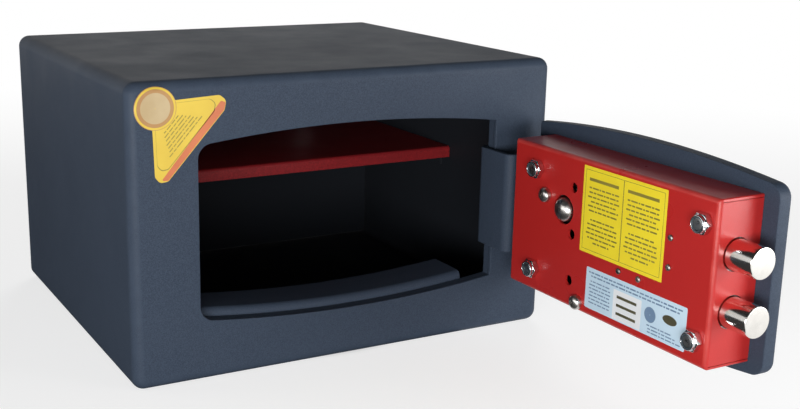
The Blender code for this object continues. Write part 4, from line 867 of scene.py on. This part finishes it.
def dial():
    """Dial: a fluted grip on a flange with raised marks and plain tens, inside a fixed ring."""
    low, high = shut_box("dial")
    place = middle("dial")
    tip, back = low[1], high[1]
    face = back - 6 * MM
    profile = filleted([(0.4 * MM, tip), (13 * MM, tip), (13 * MM, face), (24 * MM, face), (27 * MM, face + 3 * MM),
                        (27 * MM, back)], [1.8 * MM, 0.8 * MM, 0.4 * MM, 0.4 * MM], 8)
    surface = fluted(profile, place, 0.9 * MM, 24, tip + 1.9 * MM, face - 0.9 * MM)
    piece("dial_disc", opened(surface), black, "black_plastic", "dial_set", "dial")

    count = 100
    number = np.arange(count)
    turn = math.pi / 2 - 2 * math.pi * number / count
    long = np.where(number % 10 == 0, 3.4, np.where(number % 5 == 0, 2.6, 1.8)) * MM
    outer, half = 23.6 * MM, 0.16 * MM
    along = np.stack([outer - long, np.full(count, outer)], 1)[:, [0, 1, 1, 0]]
    aside = np.array([-half, -half, half, half])[None]
    x = place[0] + along * np.cos(turn)[:, None] - aside * np.sin(turn)[:, None]
    z = place[1] + along * np.sin(turn)[:, None] + aside * np.cos(turn)[:, None]
    levels = np.array([face - 0.12 * MM, face + 0.1 * MM])
    corners = np.stack([placed(x, z, level, "Y") for level in levels], 1)
    marks = together(*[skin(rings) for rings in corners])
    piece("dial_marks", opened(marks), white_ink, "black_plastic", "dial_set")
    for ten in range(0, count, 10):
        numeral(str(ten), place, 17.6 * MM, math.pi / 2 - 2 * math.pi * ten / count, face)

    low, high = shut_box("dial_ring")
    ring = filleted([(27.3 * MM, high[1]), (34 * MM, high[1]), (34 * MM, low[1]), (27.3 * MM, low[1]),
                     (27.3 * MM, high[1] - 0.05 * MM)], [0.1 * MM, 2.4 * MM, 0.3 * MM], 8)
    piece("dial_rim", opened(turned(ring, place, "Y", closed=True)), zinc, "zinc_steel", "door", "dial_ring")
    pointer = np.array([(place[0] - 1.6 * MM, place[1] + 31.4 * MM), (place[0], place[1] + 27.6 * MM),
                        (place[0] + 1.6 * MM, place[1] + 31.4 * MM)])
    surface = extruded(pointer, "Y", low[1] - 0.12 * MM, low[1] + 0.3 * MM)
    piece("dial_pointer", opened(surface), red, "red_paint", "door")


def numeral(text, centre, radius, turn, face):
    """One plain number on the dial, upright to the dial's centre, as a thin raised mesh."""
    curve = bpy.data.curves.new("numeral", "FONT")
    curve.body = text
    curve.size = 5.4 * MM
    curve.align_x = "CENTER"
    curve.align_y = "CENTER"
    curve.extrude = 0.06 * MM
    made = bpy.data.objects.new("numeral", curve)
    bpy.context.scene.collection.objects.link(made)
    bpy.context.view_layer.update()
    mesh = bpy.data.meshes.new_from_object(made.evaluated_get(bpy.context.evaluated_depsgraph_get()))
    bpy.data.objects.remove(made)
    count = len(mesh.vertices)
    flat = np.zeros(count * 3, np.float32)
    mesh.vertices.foreach_get("co", flat)
    flat = flat.reshape(-1, 3).astype(float)
    spin = turn - math.pi / 2
    across = centre[0] + radius * math.cos(turn) + flat[:, 0] * math.cos(spin) - flat[:, 1] * math.sin(spin)
    up = centre[1] + radius * math.sin(turn) + flat[:, 0] * math.sin(spin) + flat[:, 1] * math.cos(spin)
    points, _, _ = opened((placed(across, up, face - 0.06 * MM - flat[:, 2], "Y"), [], np.zeros(count)))
    mesh.vertices.foreach_set("co", points.astype(np.float32).ravel())
    mesh.update()
    bm = bmesh.new()
    bm.from_mesh(mesh)
    bmesh.ops.remove_doubles(bm, verts=bm.verts, dist=0.001 * MM)
    bmesh.ops.recalc_face_normals(bm, faces=bm.faces)
    bm.to_mesh(mesh)
    bm.free()
    name = "dial_number_" + text
    mesh.materials.clear()
    mesh.materials.append(white_ink)
    number = bpy.data.objects.new(name, mesh)
    bpy.context.scene.collection.objects.link(number)
    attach(number, "dial_set")


# Labels

def rule(left, right, bottom, top, ink):
    """A thin printed bar."""
    return block((left, ink[0], bottom), (right, ink[1], top))


def row(left, right, level, tall, ink, turn=0):
    """One printed row of plain dashes: lengths from a fixed list set side by side, as many as fit,
    and centred between the row's ends."""
    lengths = np.tile(np.roll(DASHES, -turn), 5)
    ends = np.cumsum(lengths + DASH_GAP)
    count = max(1, int(np.searchsorted(ends, right - left + DASH_GAP)))
    starts = ends[:count] - ends[count - 1] / 2 - lengths[:count] + (left + right - DASH_GAP) / 2
    return [rule(a, a + length, level, level + tall, ink) for a, length in zip(starts, lengths)]


def plain_card(name, left, right, bottom, upper, corner, levels, finish):
    """A thin card with round corners: a rectangle's loop carried through the card's thickness."""
    loop = box_loop((right - left) / 2, (upper - bottom) / 2, corner)
    x, z = (left + right) / 2 + loop[:, 0], (bottom + upper) / 2 + loop[:, 1]
    surface = skin([placed(x, z, level, "Y") for level in levels])
    piece(name, opened(surface), finish, None, "door")


def cover_labels():
    """Blank labels on the cover: a yellow card with two ruled frames of dashes, and a pale blue card
    with a white field, dashes, a plain disc and a plain oval, all thin bars and discs on the cards."""
    face = shut_box("lock_cover")[1][1]
    top = face + PAPER
    ink = (top - INK, top + INK)
    left, right, bottom, upper = -66.5 * MM, 17.6 * MM, 99.8 * MM, 162 * MM
    plain_card("yellow_card", left, right, bottom, upper, 0.4 * MM, (face - SUNK, top), yellow_film)
    edge, thin, split = 2.4 * MM, 0.25 * MM, (left + right) / 2
    frames, rows = [], []
    for a, b in ((left + edge, split - thin / 2), (split + thin / 2, right - edge)):
        low, high = bottom + edge, upper - edge
        frames += [
            rule(a, b, low, low + thin, ink),
            rule(a, b, high - thin, high, ink),
            rule(a, a + thin, low + thin, high - thin, ink),
            rule(b - thin, b, low + thin, high - thin, ink),
        ]
        rows.append(rule(a + 5 * MM, b - 4 * MM, upper - 10 * MM, upper - 7.8 * MM, ink))
        for i, trim in enumerate((2, 4, 3, 6, 2, 5, None, 7, 3, 4, 2, 5, 10)):
            if trim:
                rows += row(a + trim * MM, b - trim * MM, upper - (15.4 + 3.25 * i) * MM, 1.15 * MM, ink, i)
    piece("yellow_card_frames", opened(together(*frames)), frame_ink, None, "door")
    piece("yellow_card_rows", opened(together(*rows)), olive_ink, None, "door")

    left, right, bottom, upper = -92 * MM, 8.3 * MM, 60.2 * MM, 90.2 * MM
    plain_card("blue_card", left, right, bottom, upper, 1.2 * MM, (face - SUNK, top), blue_film)
    plain_card("white_field", -49.8 * MM, -21.4 * MM, 61 * MM, 82.2 * MM, 0.3 * MM, ink, white_film)
    rows = []
    for i in range(2):
        rows += row(left + 3 * MM, right - 2 * MM, upper - (3.8 + 2.5 * i) * MM, 1.1 * MM, ink, i)
    for i in range(7):
        rows += row(-19 * MM, right - 3 * MM, upper - (10 + 2.6 * i) * MM, 0.9 * MM, ink, i)
    for i in range(3):
        rows += row(left + 3 * MM + i * 5 * MM, -56 * MM, bottom + (2.2 + 2.3 * i) * MM, 0.9 * MM, ink, i)
    piece("blue_card_rows", opened(together(*rows)), blue_ink, None, "door")
    over = (ink[0] + INK, ink[1] + INK)
    rows = [rule(-45 * MM, -25 * MM, level * MM, (level + 2) * MM, over) for level in (64.6, 70.6, 76.6)]
    piece("white_field_rows", opened(together(*rows)), frame_ink, None, "door")
    spot = [(0.3 * MM, ink[0]), (5.4 * MM, ink[0]), (5.4 * MM, ink[1]), (0.3 * MM, ink[1])]
    surface = turned(spot, (-58.5 * MM, 75 * MM), "Y", closed=True)
    piece("blue_card_disc", opened(surface), blue_ink, None, "door")
    oval = arc((0, 0), 1, 0, 2 * math.pi, ROUND_SIDES)[:-1] * (6.6 * MM, 3.2 * MM) + (-77 * MM, 77 * MM)
    piece("blue_card_oval", opened(extruded(oval, "Y", *ink)), frame_ink, None, "door")


def rounded(points, radius):
    """A closed loop whose corners are arcs, begun half-way along its last side."""
    start = (points[-1] + points[0]) / 2
    return filleted(np.concatenate([[start], points, [start]]), [radius])[:-1]


def corner_sticker():
    """Blank corner sticker on the front: a three-sided card with round corners, thin rows and a band
    along its long side, and a plain disc over its square corner that bends over the front's edge."""
    top = FRONT - PAPER
    ink = (top + INK, top - INK)
    corners = np.array([(-157.5, 206), (-108, 208.4), (-103.2, 204.4), (-104.6, 197.6), (-146.5, 151),
                        (-152.5, 150.2), (-156, 154.5)]) * MM
    long_side = corners[4] - corners[3]
    reach = np.linalg.norm(long_side)
    along = long_side / reach
    across = np.array([along[1], -along[0]])
    half_way = (corners[3] + corners[4]) / 2
    height = (corners[0] - half_way) @ across
    loop = rounded(corners, 4 * MM)
    piece("corner_sticker", extruded(loop, "Y", top, FRONT + SUNK), amber_film, None, "cabinet")
    band = np.array([(-107.2, 204.4), (-103.7, 203), (-104.9, 197.8), (-146.6, 151.5), (-151.6, 151.6)]) * MM
    piece("sticker_band", extruded(rounded(band, 0.9 * MM), "Y", *ink), salmon_film, None, "cabinet")
    near = np.array((-146, 196)) * MM
    outer, inner = (near + (loop - near) * share for share in (0.82, 0.805))
    sides = (outer, ink[0]), (outer, ink[1]), (inner, ink[1]), (inner, ink[0])
    rings = [placed(*side.T, level, "Y") for side, level in sides]
    piece("sticker_frame", skin(rings, True), olive_ink, None, "cabinet")
    rows = []
    for i, away in enumerate(np.arange(10, 26, 2.3) * MM):
        half = (reach / 2) * (1 - away / height) - 6 * MM
        for points, faces, wear in row(-half, half, away, 0.7 * MM, ink, i):
            x, y, z = points.T
            turned_row = half_way + x[:, None] * along + z[:, None] * across
            rows.append((np.stack([turned_row[:, 0], y, turned_row[:, 1]], -1), faces, wear))
    piece("sticker_rows", together(*rows), olive_ink, None, "cabinet")

    centre = (-154.6 * MM, 202 * MM)
    for name, start, stop, low, high, finish in (
        ("sticker_disc", 0.3, 15, 0.02, -0.3, bronze_film),
        ("sticker_core", 0.3, 10.6, -0.25, -0.36, cream_film),
        ("sticker_ring", 13.2, 14.6, -0.25, -0.4, amber_film),
    ):
        radii = np.linspace(start, stop, 16) * MM
        front_side = [(r, FRONT + high * MM) for r in radii]
        back_side = [(r, FRONT + low * MM) for r in radii[::-1]]
        flat = turned(front_side + back_side, centre, "Y", closed=True)
        piece(name, laid_over(flat), finish, None, "cabinet")


def laid_over(surface):
    """A flat sticker bent over the front's top and left bends: what lies past a bend's start runs on
    along its quarter circle, so that it drops by the sine and sinks back by one less the cosine."""
    points, faces, wear = surface
    x, y, z = points.T
    top = MID_Z + HALF_HEIGHT - FRONT_BEND
    side = FRONT_BEND - HALF_WIDTH
    over = np.maximum(z - top, 0) / FRONT_BEND
    beside = np.maximum(side - x, 0) / FRONT_BEND
    y = y + FRONT_BEND * (2 - np.cos(over) - np.cos(beside))
    z = np.where(over > 0, top + FRONT_BEND * np.sin(over), z)
    x = np.where(beside > 0, side - FRONT_BEND * np.sin(beside), x)
    return np.stack([x, y, z], -1), faces, wear


# Floor, light and camera

def floor():
    """Pale ground that holds the shadow and reads white to the eye."""
    points = np.array([(-6, -6, 0), (6, -6, 0), (6, 6, 0), (-6, 6, 0)], float)
    points[:, 2] = -0.2 * MM
    mesh = bpy.data.meshes.new("floor")
    mesh.from_pydata(points.tolist(), [], [[0, 1, 2, 3]])
    made = bpy.data.objects.new("floor", mesh)
    bpy.context.scene.collection.objects.link(made)
    ground = bpy.data.materials.new("pale_floor")
    ground.use_nodes = True
    tree = ground.node_tree
    tree.nodes.clear()
    output = node(tree, "ShaderNodeOutputMaterial")
    matt = node(tree, "ShaderNodeBsdfDiffuse")
    matt.inputs["Color"].default_value = (0.42, 0.42, 0.42, 1)
    glow = node(tree, "ShaderNodeEmission")
    glow.inputs["Color"].default_value = (1, 1, 1, 1)
    seen = seen_directly(tree)
    reach = node(tree, "ShaderNodeVectorMath", operation="LENGTH")
    tree.links.new(node(tree, "ShaderNodeTexCoord").outputs["Object"], reach.inputs[0])
    uncovered = ranged(tree, reach.outputs["Value"], 0.12, 0.15, 0, 0.69)
    tree.links.new(product(tree, seen, uncovered), glow.inputs["Strength"])
    near = node(tree, "ShaderNodeAddShader")
    tree.links.new(matt.outputs[0], near.inputs[0])
    tree.links.new(glow.outputs[0], near.inputs[1])
    far = node(tree, "ShaderNodeEmission")
    tree.links.new(ranged(tree, seen, 0, 1, 0.12, 1.0), far.inputs["Strength"])
    ground_mix = node(tree, "ShaderNodeMixShader")
    tree.links.new(ranged(tree, reach.outputs["Value"], 0.55, 1.3, 0, 1), ground_mix.inputs["Fac"])
    tree.links.new(near.outputs[0], ground_mix.inputs[1])
    tree.links.new(far.outputs[0], ground_mix.inputs[2])
    tree.links.new(ground_mix.outputs[0], output.inputs["Surface"])
    mesh.materials.append(ground)


def seen_directly(tree):
    """One where a ray comes from the camera, a mirror or clear glass."""
    path = node(tree, "ShaderNodeLightPath")
    first = node(tree, "ShaderNodeMath", operation="MAXIMUM")
    tree.links.new(path.outputs["Is Camera Ray"], first.inputs[0])
    tree.links.new(path.outputs["Is Glossy Ray"], first.inputs[1])
    second = node(tree, "ShaderNodeMath", operation="MAXIMUM")
    tree.links.new(first.outputs[0], second.inputs[0])
    tree.links.new(path.outputs["Is Transmission Ray"], second.inputs[1])
    return second.outputs[0]


def world():
    """White to the eye and in mirrors, and a soft grey light on everything else."""
    made = bpy.data.worlds.new("studio")
    bpy.context.scene.world = made
    made.use_nodes = True
    tree = made.node_tree
    back = tree.nodes["Background"]
    back.inputs["Color"].default_value = (1, 1, 1, 1)
    tree.links.new(ranged(tree, seen_directly(tree), 0, 1, 0.12, 1.0), back.inputs["Strength"])


def lamp(name, place, target, width, height, power):
    """A soft box that faces a point."""
    light = bpy.data.lights.new(name, "AREA")
    light.shape = "RECTANGLE"
    light.size = width
    light.size_y = height
    light.energy = power
    made = bpy.data.objects.new(name, light)
    made.location = place
    made.rotation_mode = "QUATERNION"
    made.rotation_quaternion = (Vector(target) - Vector(place)).to_track_quat("-Z", "Y")
    made.visible_camera = False
    bpy.context.scene.collection.objects.link(made)
    return made


def screen(name, corners, tone):
    """A plain grey screen that shows only in polished and painted surfaces."""
    mesh = bpy.data.meshes.new(name)
    mesh.from_pydata(corners, [], [[0, 1, 2, 3]])
    cloth = bpy.data.materials.new(name)
    cloth.use_nodes = True
    tree = cloth.node_tree
    tree.nodes.clear()
    glow = node(tree, "ShaderNodeEmission")
    glow.inputs["Color"].default_value = (tone, tone, tone, 1)
    tree.links.new(glow.outputs[0], node(tree, "ShaderNodeOutputMaterial").inputs["Surface"])
    mesh.materials.append(cloth)
    made = bpy.data.objects.new(name, mesh)
    bpy.context.scene.collection.objects.link(made)
    made.visible_camera = False
    made.visible_diffuse = False
    made.visible_shadow = False


def camera():
    """The eye: turned right and down from straight ahead, with a slight roll."""
    yaw, pitch, roll = 0.4940, 0.2516, 0.0143
    ahead = np.array([math.sin(yaw), math.cos(yaw), 0])
    right = np.array([math.cos(yaw), -math.sin(yaw), 0])
    up = np.array([0, 0, 1.0])
    view = ahead * math.cos(pitch) - up * math.sin(pitch)
    over = up * math.cos(pitch) + ahead * math.sin(pitch)
    side = right * math.cos(roll) + over * math.sin(roll)
    over = over * math.cos(roll) - right * math.sin(roll)
    data = bpy.data.cameras.new("camera")
    data.sensor_fit = "HORIZONTAL"
    data.sensor_width = 36
    data.lens = 53.58
    data.shift_x = 0.0625
    data.clip_start, data.clip_end = 0.02, 50
    made = bpy.data.objects.new("camera", data)
    bpy.context.scene.collection.objects.link(made)
    turned_to = Matrix(np.stack([side, over, -view], 1).tolist()).to_4x4()
    made.matrix_world = Matrix.Translation((-0.4127, -0.9068, 0.3403)) @ turned_to
    bpy.context.scene.camera = made


def finish_kept_nodes():
    """Procedural finishes on the CAD nodes that stay on show, bare zinc where none is named."""
    for name, kept in frame["nodes"].items():
        for i in range(len(kept.material_slots)):
            kept.material_slots[i].link = "OBJECT"
            kept.material_slots[i].material = NODE_FINISH.get(name, zinc)


NODE_FINISH = {
    # The back panel's inward face and the shelf brackets take the near-black painted shade of the inside.
    "back_panel": lined_slate,
    **dict.fromkeys(("shelf_bracket_left", "shelf_bracket_right"), inside_slate),
    **dict.fromkeys(("hinge_lug_lower", "hinge_lug_upper"), slate),
    **dict.fromkeys(("hinge_washer", "knob_bush", "wheel_post", "wheel_1", "wheel_2", "wheel_3"), brass),
    **dict.fromkeys(("fence", "drive_disc"), brass),
}

bpy.context.scene.view_settings.view_transform = "Standard"
finish_kept_nodes()
cabinet_shell()
front_frame()
door_sill()
shelf()
door_plate()
hinge_arm()
lock_cover()
cover_fasteners()
spindle_cap()
bolts()
knob()
dial()
cover_labels()
corner_sticker()
floor()
world()
lamp("key_light", (0.62, -0.85, 0.18), (0.1, -0.3, 0.1), 0.5, 0.5, 5.6)
lamp("fill_light", (-0.66, -1.05, 0.16), (0.02, -0.2, 0.1), 0.8, 0.3, 13)
lamp("back_light", (1.1, 1.7, 0.5), (0, 0, 0.1), 1.0, 1.0, 24).visible_glossy = False
lamp("side_light", (-1.9, 0.9, 0.5), (0, 0, 0.1), 1.0, 1.0, 7).visible_glossy = False
screen("back_screen", [(-3, 1.5, 0), (3, 1.5, 0), (3, 1.5, 2.4), (-3, 1.5, 2.4)], 0.78)
screen("floor_screen", [(-2.5, -0.55, 0), (0.1, -0.55, 0), (0.1, 1.5, 0), (-2.5, 1.5, 0)], 0.04)
screen("top_screen", [(-5, -5, 1.2), (5, -5, 1.2), (5, 1.2, 1.2), (-5, 1.2, 1.2)], 0.02)
screen("side_screen", [(-1.5, -0.6, 0.05), (-1.5, 0.4, 0.05), (-1.5, 0.4, 0.7), (-1.5, -0.6, 0.7)], 2.5)
camera()
